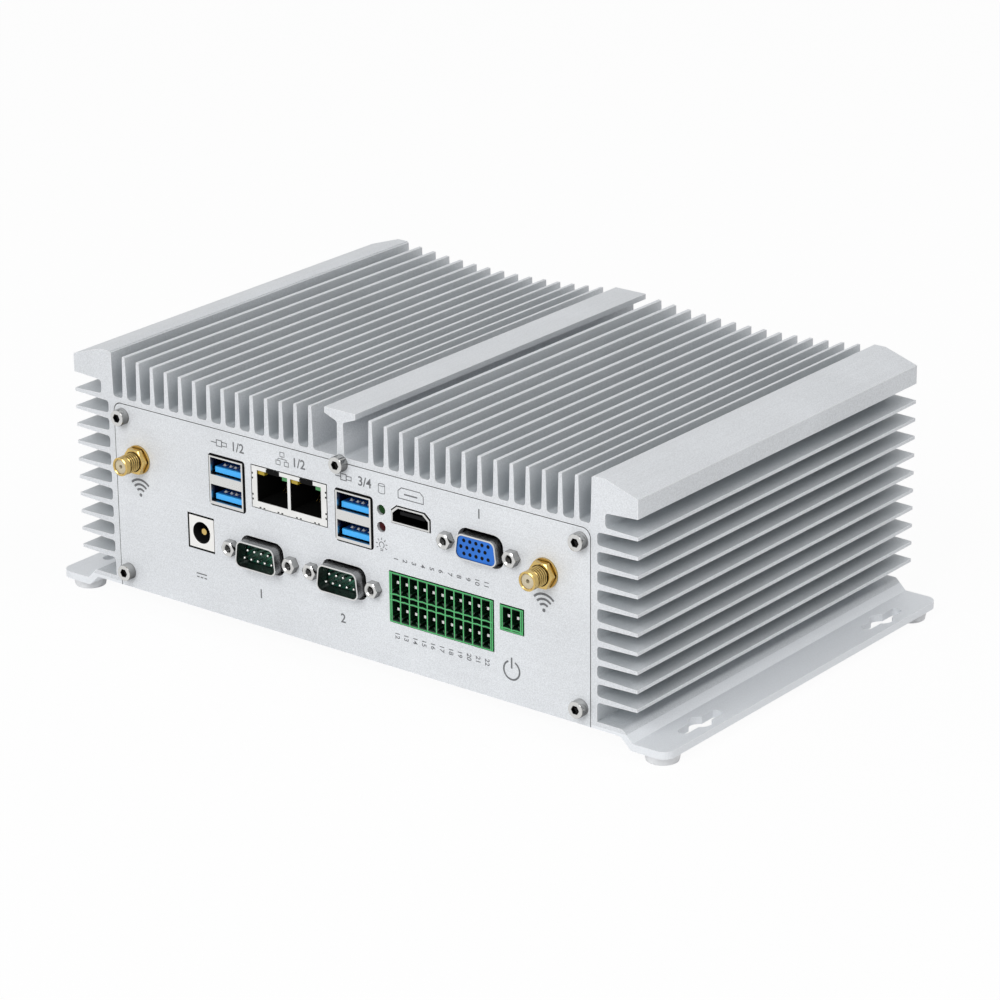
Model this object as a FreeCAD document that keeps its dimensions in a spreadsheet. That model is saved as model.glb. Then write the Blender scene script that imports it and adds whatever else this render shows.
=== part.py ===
"""Fanless industrial computer in a finned aluminium housing, in millimetres.

Pieces are laid out from the middle of the front panel's lower edge: x to the right, y inwards from
the panel's face, z up. The part's own origin is the middle of the box around it, at floor level.
"""
import FreeCAD, Part
import Sketcher
import math
import os
import re
from FreeCAD import Placement, Rotation, Vector

SIZES = {
    # housing extrusion
    "depth": 150.0,
    "panel_width": 190.0,
    "panel_height": 63.0,
    "panel_round": 3.0,
    "panel_thick": 2.5,
    "seam": 0.15,
    "side_wall": 2.4,
    "roof_wall": 1.8,
    "ledge": 1.6,
    "fin_count": 14,
    "first_fin": 12.0,
    "head_offset": 1.0,
    "fin_tip": 1.1,
    "fin_root": 1.95,
    "root_round": 1.1,
    "fin_dip": 2.8,
    "dish_drop": 0.3,
    "roof_top": 14.95,
    "rib_half": 6.15,
    "rib_lip": 1.85,
    "rib_under": 1.9,
    "stem_top": 2.3,
    "stem_root": 2.8,
    "head_flat": 4.2,
    "head_slope": 3.85,
    "head_face": 6.1,
    "head_rise": 0.6,
    "head_post": 2.9,
    "side_reach": 14.6,
    "side_count": 10,
    "side_top": 0.7,
    "side_low": 9.7,
    "shelf_thick": 2.45,
    "shelf_run": 9.2,
    "step_run": 3.75,
    "step_back": 0.6,
    "step_round": 1.5,
    "flange_drop": 3.65,
    "flange_reach": 25.4,
    "flange_round": 4.0,
    "slot_inset": 5.7,
    "slot_end": 25.0,
    "slot_width": 3.6,
    "slot_length": 20.7,
    "slot_eye": 7.6,
    "port_size": 7.2,
    "port_inner": 2.0,
    "rib_port": 8.0,
    "rib_port_drop": 1.6,
    "plate_thick": 2.0,
    # fasteners
    "screw_x": 91.4,
    "screw_low": 5.6,
    "screw_high": 58.8,
    "screw_mid": 62.8,
    "screw_head": 5.5,
    "screw_head_tall": 3.0,
    "screw_head_low": 1.6,
    "screw_hex": 2.5,
    "screw_hex_deep": 1.5,
    "screw_body": 3.0,
    "screw_reach": 8.0,
    "screw_grip": 3.0,
    "thread_spare": 0.2,
    "fit": 0.05,
    "foot_width": 11.5,
    "foot_height": 3.25,
    "foot_inset": 7.0,
    "foot_edge": 0.75,
    "foot_taper": 0.7,
    "plate_screw_end": 25.0,
    # boards
    "board_thick": 1.6,
    "board_front": 4.0,
    "board_side_gap": 1.8,
    "board_end": 12.0,
    "main_level": 54.4,
    "second_left": -72.0,
    "second_right": 76.0,
    "second_depth": 58.0,
    "second_level": 32.1,
    "spacer_inset": 8.0,
    "spacer_front": 14.0,
    "spacer_end": 6.0,
    "pillar_inset": 6.0,
    "pillar_front": 30.0,
    "pillar_back": 56.0,
    "spacer_hex": 5.5,
    "stud_reach": 2.4,
    "nut_tall": 2.4,
    "chip_x": 34.0,
    "chip_y": 80.0,
    "chip_side": 37.5,
    "chip_base": 1.2,
    "lid_side": 28.0,
    "lid_tall": 1.2,
    "pad_thick": 0.4,
    "block_side": 52.0,
    "block_screw_inset": 4.0,
    "memory_x": -32.0,
    "memory_y": 70.0,
    "memory_wide": 67.6,
    "memory_long": 30.0,
    "memory_thick": 1.2,
    "memory_tall": 4.0,
    "memory_arm": 3.5,
    "memory_bar": 5.0,
    "card_seat": 2.0,
    "card_wide": 22.0,
    "card_thick": 0.8,
    "card_screw": 2.0,
    "card_screw_head": 4.0,
    "card_post": 3.2,
    "card_chip": 13.0,
    "card_chip_thick": 1.2,
    "storage_x": 25.0,
    "storage_long": 80.0,
    "radio_x": 50.0,
    "radio_long": 30.0,
    "card_gap": 30.0,
    "socket_deep": 5.0,
    "socket_tall": 3.2,
    "socket_cheek": 1.0,
    "battery_x": -68.0,
    "battery_end": 34.0,
    "battery_width": 20.0,
    "battery_tall": 3.2,
    "battery_base": 1.0,
    "battery_rim": 1.5,
    "link_x": -36.0,
    "link_y": 50.0,
    "link_long": 50.0,
    "link_deep": 5.0,
    # stacked data ports
    "stack_left": -47.3,
    "stack_right": 4.8,
    "stack_low": 37.6,
    "stack_wide": 14.0,
    "stack_tall": 16.2,
    "stack_deep": 17.0,
    "stack_back": 1.0,
    "stack_proud": 0.5,
    "stack_wall": 0.6,
    "stack_lip": 1.0,
    "stack_step": 9.0,
    "stack_mouth": 5.7,
    "tongue_wide": 11.3,
    "tongue_thick": 1.8,
    "tongue_low": 0.5,
    "tongue_end": 10.2,
    "tongue_inset": 0.9,
    "cutout_gap": 0.35,
    # twin network jack
    "jack_x": -21.5,
    "jack_low": 40.4,
    "jack_wide": 30.6,
    "jack_tall": 13.8,
    "jack_deep": 21.0,
    "jack_wall": 0.3,
    "jack_bay": 12.5,
    "jack_bar": 1.2,
    "jack_bay_low": 2.2,
    "jack_bay_tall": 10.3,
    "jack_bay_deep": 14.0,
    "latch_wide": 5.0,
    "latch_deep": 8.4,
    "lamp_wide": 2.6,
    "lamp_tall": 1.5,
    "lamp_deep": 3.0,
    "lamp_inset": 0.6,
    # digital video socket
    "video_x": 27.3,
    "video_low": 48.1,
    "video_wide": 14.9,
    "video_tall": 5.5,
    "video_chamfer": 2.2,
    "video_chamfer_tall": 1.8,
    "video_wall": 0.5,
    "video_deep": 12.0,
    "video_back": 1.0,
    "video_core": 3.0,
    "video_proud": 0.3,
    "video_tongue": 9.6,
    "video_blade_inset": 0.8,
    "video_blade_low": 2.65,
    "video_blade_thick": 1.1,
    # shielded ports with two jackscrews
    "serial_left": -33.4,
    "serial_right": 0.2,
    "serial_level": 24.6,
    "analog_x": 54.0,
    "analog_level": 47.5,
    "shell_wide": 17.2,
    "shell_tall": 9.0,
    "shell_lean": 1.0,
    "shell_round": 2.3,
    "shell_wall": 0.45,
    "shell_proud": 3.6,
    "shell_plate_wide": 31.0,
    "shell_plate_tall": 12.4,
    "shell_plate_thick": 1.0,
    "shell_body_deep": 9.0,
    "shell_gap": 0.9,
    "insulator_inset": 1.6,
    "pin_pitch": 2.8,
    "pin_rows": 2.85,
    "pin_width": 1.05,
    "pin_proud": 2.5,
    "analog_wide": 16.2,
    "analog_tall": 8.2,
    "analog_proud": 2.5,
    "analog_gap": 1.2,
    "analog_face": 0.4,
    "hole_pitch": 2.3,
    "hole_rows": 2.1,
    "hole_width": 1.1,
    "hole_deep": 2.0,
    "jackscrew_span": 25.0,
    "jackscrew_hex": 4.75,
    "jackscrew_tall": 2.8,
    "jackscrew_thread": 2.8,
    "jackscrew_bore": 2.3,
    "jackscrew_bore_deep": 3.8,
    "jackscrew_reach": 2.0,
    # power inlet
    "inlet_x": -59.0,
    "inlet_low": 20.9,
    "inlet_wide": 10.3,
    "inlet_tall": 10.7,
    "inlet_deep": 13.0,
    "inlet_bore": 7.2,
    "inlet_bore_deep": 9.5,
    "inlet_pin": 2.1,
    "inlet_pin_inset": 1.2,
    # terminal blocks
    "way_pitch": 3.5,
    "way_wall": 0.6,
    "way_tall": 6.2,
    "way_key": 0.75,
    "way_key_low": 0.2,
    "way_key_tall": 1.1,
    "way_deep": 9.0,
    "ways": 11,
    "block_first": 21.1,
    "block_low": 15.3,
    "block_tall": 16.4,
    "block_deep": 12.0,
    "block_rim": 0.8,
    "block_lip": 0.8,
    "block_row": 8.8,
    "block_proud": 0.3,
    "block_slot": 1.3,
    "small_ways": 2,
    "small_first": 64.0,
    "small_low": 23.3,
    "small_tall": 8.0,
    "small_lip": 1.2,
    "terminal_pin": 0.9,
    "terminal_inset": 0.8,
    "terminal_rise": 3.4,
    # status lights
    "light_x": 15.6,
    "light_high": 51.0,
    "light_low": 45.4,
    "light_width": 3.3,
    "light_deep": 6.0,
    "light_inset": 0.2,
    "light_seat": 0.5,
    "light_foot": 2.0,
    "light_carrier": 3.0,
    # antenna sockets
    "antenna_left": -85.1,
    "antenna_right": 78.3,
    "antenna_level": 45.4,
    "antenna_reach": 9.0,
    "antenna_thread": 6.3,
    "antenna_bore": 4.7,
    "antenna_bore_deep": 3.4,
    "antenna_pin": 1.3,
    "antenna_flange": 8.4,
    "antenna_back": 5.0,
    "antenna_tail": 4.2,
    "antenna_flange_thick": 2.0,
    "antenna_tip": 0.6,
    "antenna_eye_deep": 1.5,
    "washer_width": 9.6,
    "washer_thick": 0.7,
    "nut_flats": 8.0,
    "nut_thick": 2.2,
    "lead_width": 1.3,
    "lead_turn": 27.0,
    "lead_gap": 5.0,
    "radio_tap": 5.0,
}

doc = FreeCAD.newDocument("computer")
sheet = doc.addObject("Spreadsheet::Sheet", "sizes")
for row, (alias, value) in enumerate(SIZES.items(), start=1):
    sheet.set(f"A{row}", alias)
    sheet.set(f"B{row}", f"{value:g}")
    sheet.setAlias(f"B{row}", alias)
doc.recompute()

nodes = {}

# Lengths that several pieces share, worked out from the driving sizes.
GROUND = "(foot_height + flange_drop)"
FRONT = "((antenna_reach - screw_head_tall - depth) / 2)"
HALF = "(panel_width / 2)"
WALL = "(panel_width / 2 + side_wall)"
FLOOR = "(panel_height + roof_wall)"
TOP = "(panel_height + roof_wall + roof_top)"
HEAD = "(panel_width / 2 + head_offset)"
PITCH = "((panel_width / 2 + head_offset - first_fin) / fin_count)"
SIDE_PITCH = "((panel_height + side_top - side_low) / (side_count - 1))"
REACH = "(panel_width / 2 + side_wall + side_reach)"
CEILING = "(panel_height - ledge)"
FOOT_MID = "(panel_width / 2 + side_wall + flange_reach - foot_width / 2 - foot_edge)"
MAIN_TOP = "(main_level + board_thick)"
THREAD_HOLE = "screw_body + 2 * fit"
SECOND_TOP = "(second_level + board_thick)"
MAIN_HALF = "(screw_x - port_size / 2 - board_side_gap)"
MAIN_DEPTH = "(depth - board_front - board_end)"
SPACER_X = "(screw_x - port_size / 2 - board_side_gap - spacer_inset)"
SPACER_BACK = "(depth - board_end - spacer_end)"
SPACER_SPOTS = [(side + SPACER_X, along) for side in ("-", "") for along in ("spacer_front", SPACER_BACK)]
CARD_START = "(depth - storage_long - card_gap)"
BLOCK_LEFT = "block_first - way_pitch / 2 - block_rim"
BLOCK_WIDE = "(ways * way_pitch + 2 * block_rim)"
SMALL_LEFT = "small_first - way_pitch / 2 - block_rim"
SMALL_WIDE = "(small_ways * way_pitch + 2 * block_rim)"

SCREW_SPOTS = [
    ("-screw_x", "screw_low"),
    ("screw_x", "screw_low"),
    ("-screw_x", "screw_high"),
    ("screw_x", "screw_high"),
    ("0", "screw_mid"),
]
STACKS = ["stack_left", "stack_right"]
SERIALS = ["serial_left", "serial_right"]
ANTENNAS = ["antenna_left", "antenna_right"]
JACKSCREWS = [(x + side + "jackscrew_span / 2", level)
              for x, level in (("serial_left", "serial_level"), ("serial_right", "serial_level"),
                               ("analog_x", "analog_level"))
              for side in (" - ", " + ")]


def bound(text):
    """The text with each size's alias written as a reference to its cell."""
    return re.sub(r"[a-z][a-z_]+", lambda m: "sizes." + m.group() if m.group() in SIZES else m.group(), text)


def amount(text):
    """The number that an expression in sizes comes to now."""
    return float(sheet.evalExpression(bound(text)))


def bind(item, name, text):
    item.setExpression(name, bound(text))


def place(item, x="0", y="0", z="0"):
    """Puts a piece at a point given from the panel's lower edge."""
    bind(item, "Placement.Base.x", x)
    bind(item, "Placement.Base.y", FRONT + " + " + y)
    bind(item, "Placement.Base.z", GROUND + " + " + z)
    return item


def node(name, item):
    """Names a finished piece and keeps it for export."""
    item.Label = name
    nodes[name] = item
    return item


def box(name, length, width, height, at):
    item = doc.addObject("Part::Box", name)
    bind(item, "Length", length)
    bind(item, "Width", width)
    bind(item, "Height", height)
    return place(item, *at)


def centred(name, length, width, height, x, y, z):
    """A box whose left and right faces lie evenly about x."""
    return box(name, length, width, height, (f"{x} - ({length}) / 2", y, z))


TURNS = {"y": Rotation(Vector(1, 0, 0), -90), "z": Rotation()}


def rod(name, width, length, at, along="y"):
    """A cylinder of a given diameter that runs from its point along y or z."""
    item = doc.addObject("Part::Cylinder", name)
    item.Placement = Placement(Vector(), TURNS[along])
    bind(item, "Radius", f"({width}) / 2")
    bind(item, "Height", length)
    return place(item, *at)


def hexagon(name, flats, length, at, along="y"):
    """A six-sided bar of a given width across flats. Small screws' stems and holes are such bars too."""
    item = doc.addObject("Part::Prism", name)
    item.Placement = Placement(Vector(), TURNS[along])
    item.Polygon = 6
    bind(item, "Circumradius", f"({flats}) / 2 / cos(30)")
    bind(item, "Height", length)
    return place(item, *at)


def cone(name, low_width, high_width, length, at):
    """An upright cone with a given diameter at each end."""
    item = doc.addObject("Part::Cone", name)
    bind(item, "Radius1", f"({low_width}) / 2")
    bind(item, "Radius2", f"({high_width}) / 2")
    bind(item, "Height", length)
    return place(item, *at)


def join(name, items):
    item = doc.addObject("Part::MultiFuse", name)
    item.Shapes = items
    item.Refine = True
    return item


def cut(name, base, tools):
    item = doc.addObject("Part::Cut", name)
    item.Base = base
    item.Tool = tools[0] if len(tools) == 1 else join(name + "_tools", tools)
    item.Refine = True
    return item


def group(name, items):
    """Several like pieces kept as one node of separate solids."""
    item = doc.addObject("Part::Compound", name)
    item.Links = items
    return node(name, item)


def body(name, x="0", y="0", z="0"):
    return place(doc.addObject("PartDesign::Body", name), x, y, z)


def plane(part, role):
    return next(item for item in part.Origin.OriginFeatures if item.Role == role)


def sketch(part, name, role="XZ_Plane", lift="0"):
    """A sketch on one of the body's own planes, lifted along that plane's normal."""
    item = part.newObject("Sketcher::SketchObject", name)
    item.AttachmentSupport = [(plane(part, role), "")]
    item.MapMode = "FlatFace"
    bind(item, "AttachmentOffset.Base.z", lift)
    return item


def pin_point(drawing, index, end, corner):
    """Ties one point of a sketch to its two coordinates."""
    for kind, text in zip(("DistanceX", "DistanceY"), corner):
        number = drawing.addConstraint(Sketcher.Constraint(kind, -1, 1, index, end, amount(text)))
        drawing.setExpression(f"Constraints[{number}]", bound(text))


def outline(drawing, corners, bow=None):
    """Closed outline through corners, each (across, up) or (across, up, radius) in sizes.

    A corner with a radius is rounded by an arc tangent to its two sides, and its sharp point stays
    tied to its coordinates. bow is (side, radius) for one side that is an arc, bulging to the right
    of the way round.
    """
    spots = [Vector(amount(c[0]), amount(c[1]), 0) for c in corners]
    count = len(corners)
    starts, ends, rounds = [], [], []
    for i, corner in enumerate(corners):
        radius = amount(corner[2]) if len(corner) > 2 else 0.0
        back = (spots[i - 1] - spots[i]).normalize()
        ahead = (spots[(i + 1) % count] - spots[i]).normalize()
        reach = radius / math.tan(back.getAngle(ahead) / 2) if radius else 0.0
        ends.append(spots[i] + back * reach)
        starts.append(spots[i] + ahead * reach)
        rounds.append((radius, back, ahead))
    lines = []
    for i in range(count):
        first, last = starts[i], ends[(i + 1) % count]
        if bow and bow[0] == i:
            radius = amount(bow[1])
            chord = last - first
            side = Vector(-chord.y, chord.x, 0).normalize()
            centre = (first + last) / 2 + side * math.sqrt(radius ** 2 - (chord.Length / 2) ** 2)
            middle = centre - side * radius
            number = drawing.addGeometry(Part.Arc(first, middle, last))
            tie = drawing.addConstraint(Sketcher.Constraint("Radius", number, radius))
            drawing.setExpression(f"Constraints[{tie}]", bound(bow[1]))
            lines.append((number, 1, 2))
        else:
            lines.append((drawing.addGeometry(Part.LineSegment(first, last)), 1, 2))
    for i, corner in enumerate(corners):
        before, after = lines[i - 1], lines[i]
        radius, back, ahead = rounds[i]
        if not radius:
            drawing.addConstraint(Sketcher.Constraint("Coincident", before[0], before[2], after[0], after[1]))
            pin_point(drawing, after[0], after[1], corner[:2])
            continue
        centre = spots[i] + (back + ahead).normalize() * (radius / math.sin(back.getAngle(ahead) / 2))
        middle = centre + (spots[i] - centre).normalize() * radius
        # Arcs run anticlockwise, so at a right turn the arc starts where the next side does.
        tip, tail = (1, 2) if ahead.cross(back).z > 0 else (2, 1)
        first, last = (ends[i], starts[i]) if tip == 1 else (starts[i], ends[i])
        arc = drawing.addGeometry(Part.Arc(first, middle, last))
        mark = drawing.addGeometry(Part.Point(spots[i]), True)
        drawing.addConstraint(Sketcher.Constraint("Tangent", before[0], before[2], arc, tip))
        drawing.addConstraint(Sketcher.Constraint("Tangent", arc, tail, after[0], after[1]))
        drawing.addConstraint(Sketcher.Constraint("PointOnObject", mark, 1, before[0]))
        drawing.addConstraint(Sketcher.Constraint("PointOnObject", mark, 1, after[0]))
        tie = drawing.addConstraint(Sketcher.Constraint("Radius", arc, radius))
        drawing.setExpression(f"Constraints[{tie}]", bound(corner[2]))
        pin_point(drawing, mark, 1, corner[:2])


def circle(drawing, across, up, width):
    """Circle of a given diameter, tied to its centre."""
    number = drawing.addGeometry(Part.Circle(Vector(amount(across), amount(up), 0), Vector(0, 0, 1),
                                             amount(width) / 2))
    tie = drawing.addConstraint(Sketcher.Constraint("Diameter", number, amount(width)))
    drawing.setExpression(f"Constraints[{tie}]", bound(width))
    pin_point(drawing, number, 3, (across, up))


def six_sided(drawing, across, up, flats):
    """A small hole for a screw's stem or a contact, shaped like the bar that a hexagon makes."""
    reach = f"({flats}) / 2 / cos(30)"
    outline(drawing, [(f"{across} + {reach} * cos({60 * k})", f"{up} + {reach} * sin({60 * k})")
                      for k in range(6)])


def slot(drawing, across, along, width, length):
    """A slot with round ends, centred on a point and running along the sketch's second direction."""
    near = f"{along} - ({length} - {width}) / 2"
    far = f"{along} + ({length} - {width}) / 2"
    x, radius = amount(across), amount(width) / 2
    low, high = amount(near), amount(far)
    near_left, near_right = Vector(x - radius, low), Vector(x + radius, low)
    far_left, far_right = Vector(x - radius, high), Vector(x + radius, high)
    first = drawing.addGeometry(Part.Arc(near_left, Vector(x, low - radius), near_right))
    right = drawing.addGeometry(Part.LineSegment(near_right, far_right))
    last = drawing.addGeometry(Part.Arc(far_right, Vector(x, high + radius), far_left))
    left = drawing.addGeometry(Part.LineSegment(far_left, near_left))
    for before, after in ((first, right), (right, last), (last, left), (left, first)):
        drawing.addConstraint(Sketcher.Constraint("Tangent", before, 2, after, 1))
    for arc, end in ((first, near), (last, far)):
        tie = drawing.addConstraint(Sketcher.Constraint("Radius", arc, radius))
        drawing.setExpression(f"Constraints[{tie}]", bound(width + " / 2"))
        pin_point(drawing, arc, 3, (across, end))


def rectangle(drawing, left, low, wide, tall):
    right = f"{left} + {wide}"
    high = f"{low} + {tall}"
    outline(drawing, [(left, low), (right, low), (right, high), (left, high)])


def extrude(part, kind, drawing, length, backwards=False, name=None):
    """A Pad or a Pocket of a sketch. A Pocket must take something away."""
    doc.recompute()
    before = part.Shape.Volume if kind == "Pocket" else 0.0
    item = part.newObject("PartDesign::" + kind, name or kind + "_" + drawing.Name)
    item.Profile = drawing
    item.Reversed = backwards
    bind(item, "Length", length)
    doc.recompute()
    if kind == "Pocket" and part.Shape.Volume > before - 1e-6:
        raise RuntimeError(item.Name + " takes nothing away")
    return item


def pad(part, drawing, length, name=None):
    """Pads inwards from the front, or upwards from a level plane."""
    upright = drawing.AttachmentSupport[0][0].Role == "XZ_Plane"
    return extrude(part, "Pad", drawing, length, upright, name)


def pocket(part, drawing, length, upwards=False, name=None):
    """Cuts inwards from the front, or down (or upwards) from a level plane."""
    return extrude(part, "Pocket", drawing, length, upwards, name)


def row_of(part, feature, axis, length, count, backwards=False):
    """Repeats a feature in a straight row of a given length."""
    item = part.newObject("PartDesign::LinearPattern", feature.Name + "_row")
    item.Originals = [feature]
    item.Direction = (plane(part, axis), [""])
    item.Reversed = backwards
    bind(item, "Length", length)
    bind(item, "Occurrences", count)
    part.Tip = item
    doc.recompute()
    return item


# Housing: one extrusion with fins on top and sides, corner heads, a T rib and stepped flanges.
def housing():
    part = body("housing_half")
    tip_low = "side_low - fin_tip / 2"
    root_low = "side_low - fin_root / 2"
    drawing = sketch(part, "envelope")
    outline(drawing, [
        ("0", "0"),
        (WALL + " + shelf_run - step_back", "0", "step_round"),
        (WALL + " + shelf_run + step_run - step_back", "-flange_drop", "step_round"),
        (WALL + " + flange_reach", "-flange_drop"),
        (WALL + " + flange_reach", "-flange_drop + shelf_thick"),
        (WALL + " + shelf_run + step_run", "-flange_drop + shelf_thick"),
        (WALL + " + shelf_run", "shelf_thick", "step_round"),
        (WALL, "shelf_thick"),
        (WALL, root_low, "root_round"),
        (REACH, tip_low),
        (REACH, TOP + " - head_slope"),
        (HEAD + " + head_flat", TOP),
        ("0", TOP),
    ])
    pad(part, drawing, "depth", "walls")

    # The bay holds the boards and is open below for the bottom plate. Round screws run into the
    # long corner ports, which the bay leaves standing, and into a port under the rib.
    inner = HALF + " - port_inner"
    port_side = "screw_x - port_size / 2"
    drawing = sketch(part, "bay")
    outline(drawing, [
        ("0", "-plate_thick"),
        (HALF + " + seam", "-plate_thick"),
        (HALF + " + seam", "plate_thick"),
        (port_side, "plate_thick"),
        (port_side, "screw_low + port_size / 2"),
        (inner, "screw_low + port_size / 2"),
        (inner, "screw_high - port_size / 2"),
        (port_side, "screw_high - port_size / 2"),
        (port_side, CEILING),
        ("rib_port / 2", CEILING),
        ("rib_port / 2", CEILING + " - rib_port_drop"),
        ("0", CEILING + " - rib_port_drop"),
    ])
    pocket(part, drawing, "depth")

    for end, name in (("0", "front"), ("panel_thick - depth", "rear")):
        drawing = sketch(part, name + "_recess", lift=end)
        outline(drawing, [
            ("0", "-plate_thick"),
            (HALF + " + seam", "-plate_thick"),
            (HALF + " + seam", "panel_height + seam", "panel_round"),
            ("0", "panel_height + seam"),
        ])
        pocket(part, drawing, "panel_thick")
        drawing = sketch(part, name + "_threads", lift=end)
        six_sided(drawing, "screw_x", "screw_low", THREAD_HOLE)
        six_sided(drawing, "screw_x", "screw_high", THREAD_HOLE)
        six_sided(drawing, "0", "screw_mid", THREAD_HOLE)
        if name == "front":
            pocket(part, drawing, "screw_reach + thread_spare")
        else:
            pocket(part, drawing, "screw_reach + thread_spare - panel_thick", upwards=True)
            drawing = sketch(part, "rear_end_threads", lift=end)
            six_sided(drawing, "0", "screw_mid", THREAD_HOLE)
            pocket(part, drawing, "panel_thick")

    for name, along in (("front", "slot_end"), ("rear", "depth - slot_end")):
        drawing = sketch(part, name + "_eye", "XY_Plane")
        circle(drawing, WALL + " + flange_reach - slot_inset", along, "slot_eye")
        pocket(part, drawing, "flange_drop")
        drawing = sketch(part, name + "_slot", "XY_Plane")
        slot(drawing, WALL + " + flange_reach - slot_inset", along, "slot_width", "slot_length")
        pocket(part, drawing, "flange_drop")

    drawing = sketch(part, "plate_threads", "XY_Plane")
    six_sided(drawing, "screw_x", "plate_screw_end", THREAD_HOLE)
    threads = pocket(part, drawing, "screw_reach + thread_spare", upwards=True)
    row_of(part, threads, "Y_Axis", "depth - 2 * plate_screw_end", "2")

    drawing = sketch(part, "dish")
    outline(drawing, [
        (HEAD, TOP + " + fin_dip"),
        ("rib_half", TOP + " + fin_dip"),
        ("rib_half", TOP + " - dish_drop"),
        (HEAD, TOP + " - dish_drop"),
    ], bow=(2, f"({HEAD} - rib_half) ^ 2 / 8 / fin_dip + fin_dip / 2"))
    pocket(part, drawing, "depth")

    drawing = sketch(part, "rib_gap")
    outline(drawing, [
        ("stem_root / 2", FLOOR, "root_round"),
        ("first_fin - fin_root / 2", FLOOR, "root_round"),
        ("first_fin - fin_tip / 2", TOP),
        ("rib_half", TOP),
        ("rib_half", TOP + " - rib_lip"),
        ("stem_top / 2", TOP + " - rib_lip - rib_under", "root_round"),
    ])
    pocket(part, drawing, "depth")

    drawing = sketch(part, "roof_gap")
    first = "first_fin + "
    outline(drawing, [
        (first + "fin_root / 2", FLOOR, "root_round"),
        (first + PITCH + " - fin_root / 2", FLOOR, "root_round"),
        (first + PITCH + " - fin_tip / 2", TOP),
        (first + "fin_tip / 2", TOP),
    ])
    gap = pocket(part, drawing, "depth")
    row_of(part, gap, "X_Axis", PITCH + " * (fin_count - 1)", "fin_count")

    drawing = sketch(part, "head_gap")
    high = "panel_height + side_top"
    outline(drawing, [
        (WALL + " + head_post", TOP + " - head_slope - head_face - head_rise", "root_round"),
        (WALL + " + head_post", high + " + fin_root / 2", "root_round"),
        (REACH, high + " + fin_tip / 2"),
        (REACH, TOP + " - head_slope - head_face"),
    ])
    pocket(part, drawing, "depth")

    drawing = sketch(part, "side_gap")
    outline(drawing, [
        (WALL, "side_low + fin_root / 2", "root_round"),
        (REACH, "side_low + fin_tip / 2"),
        (REACH, f"side_low + {SIDE_PITCH} - fin_tip / 2"),
        (WALL, f"side_low + {SIDE_PITCH} - fin_root / 2", "root_round"),
    ])
    gap = pocket(part, drawing, "depth")
    row_of(part, gap, "Z_Axis", SIDE_PITCH + " * (side_count - 2)", "side_count - 1")

    half = part
    mirror = doc.addObject("Part::Mirroring", "housing_other_half")
    mirror.Source = half
    mirror.Normal = Vector(1, 0, 0)
    whole = join("housing_whole", [half, mirror])
    inset = "(block_side / 2 - block_screw_inset)"
    spots = [(f"chip_x {across} {inset}", f"chip_y {along} {inset}") for across in "-+" for along in "-+"]
    threads = [hexagon(f"ceiling_thread_{i}", THREAD_HOLE, "stud_reach + thread_spare", (*spot, CEILING), "z")
               for i, spot in enumerate(spots + SPACER_SPOTS)]
    corners = [flange_corner(f"flange_corner_{side}{end}", side, end)
               for side in ("left", "right") for end in ("front", "rear")]
    node("housing", cut("housing_drilled", whole, threads + corners))


def flange_corner(name, side, end):
    """What is cut off one corner of a flange to round it: a square block less a quarter of a rod."""
    sign = "-" if side == "left" else ""
    across = f"{sign}({WALL} + flange_reach - flange_round)"
    along = "flange_round" if end == "front" else "(depth - flange_round)"
    corner = (across if side == "right" else across + " - flange_round",
              along if end == "rear" else "0", "-flange_drop")
    block = box(name + "_block", "flange_round", "flange_round", "flange_drop", corner)
    return cut(name, block, [rod(name + "_rod", "2 * flange_round", "flange_drop",
                                 (across, along, "-flange_drop"), "z")])


def panel(name, face):
    """A flat end panel with two rounded upper corners and holes for its five screws."""
    part = body(name)
    drawing = sketch(part, name + "_sheet", lift=f"-({face})")
    outline(drawing, [
        ("-" + HALF, "0"),
        (HALF, "0"),
        (HALF, "panel_height", "panel_round"),
        ("-" + HALF, "panel_height", "panel_round"),
    ])
    pad(part, drawing, "panel_thick", name + "_pad")
    drawing = sketch(part, name + "_screw_holes", lift=f"-({face})")
    for across, up in SCREW_SPOTS:
        six_sided(drawing, across, up, "screw_body + 4 * fit")
    pocket(part, drawing, "panel_thick")
    return part


def shield(drawing, x, level, wide, tall, grow="0"):
    """The keyed outline of a shielded port, with its wide side below."""
    low = f"{level} - {tall} / 2 - {grow}"
    high = f"{level} + {tall} / 2 + {grow}"
    outer = f"({wide} / 2 + {grow})"
    inner = f"({wide} / 2 - shell_lean + {grow})"
    bend = f"shell_round + {grow}"
    outline(drawing, [
        (f"{x} - {outer}", low, bend),
        (f"{x} + {outer}", low, bend),
        (f"{x} + {inner}", high, bend),
        (f"{x} - {inner}", high, bend),
    ])


def chamfered(drawing, grow="0"):
    """The outline of the digital video socket, with two cut upper corners."""
    wide = f"(video_wide / 2 + {grow})"
    low = f"video_low - {grow}"
    high = f"video_low + video_tall + {grow}"
    outline(drawing, [
        (f"video_x - {wide}", low),
        (f"video_x + {wide}", low),
        (f"video_x + {wide}", high + " - video_chamfer_tall"),
        (f"video_x + {wide} - video_chamfer", high),
        (f"video_x - {wide} + video_chamfer", high),
        (f"video_x - {wide}", high + " - video_chamfer_tall"),
    ])


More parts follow.
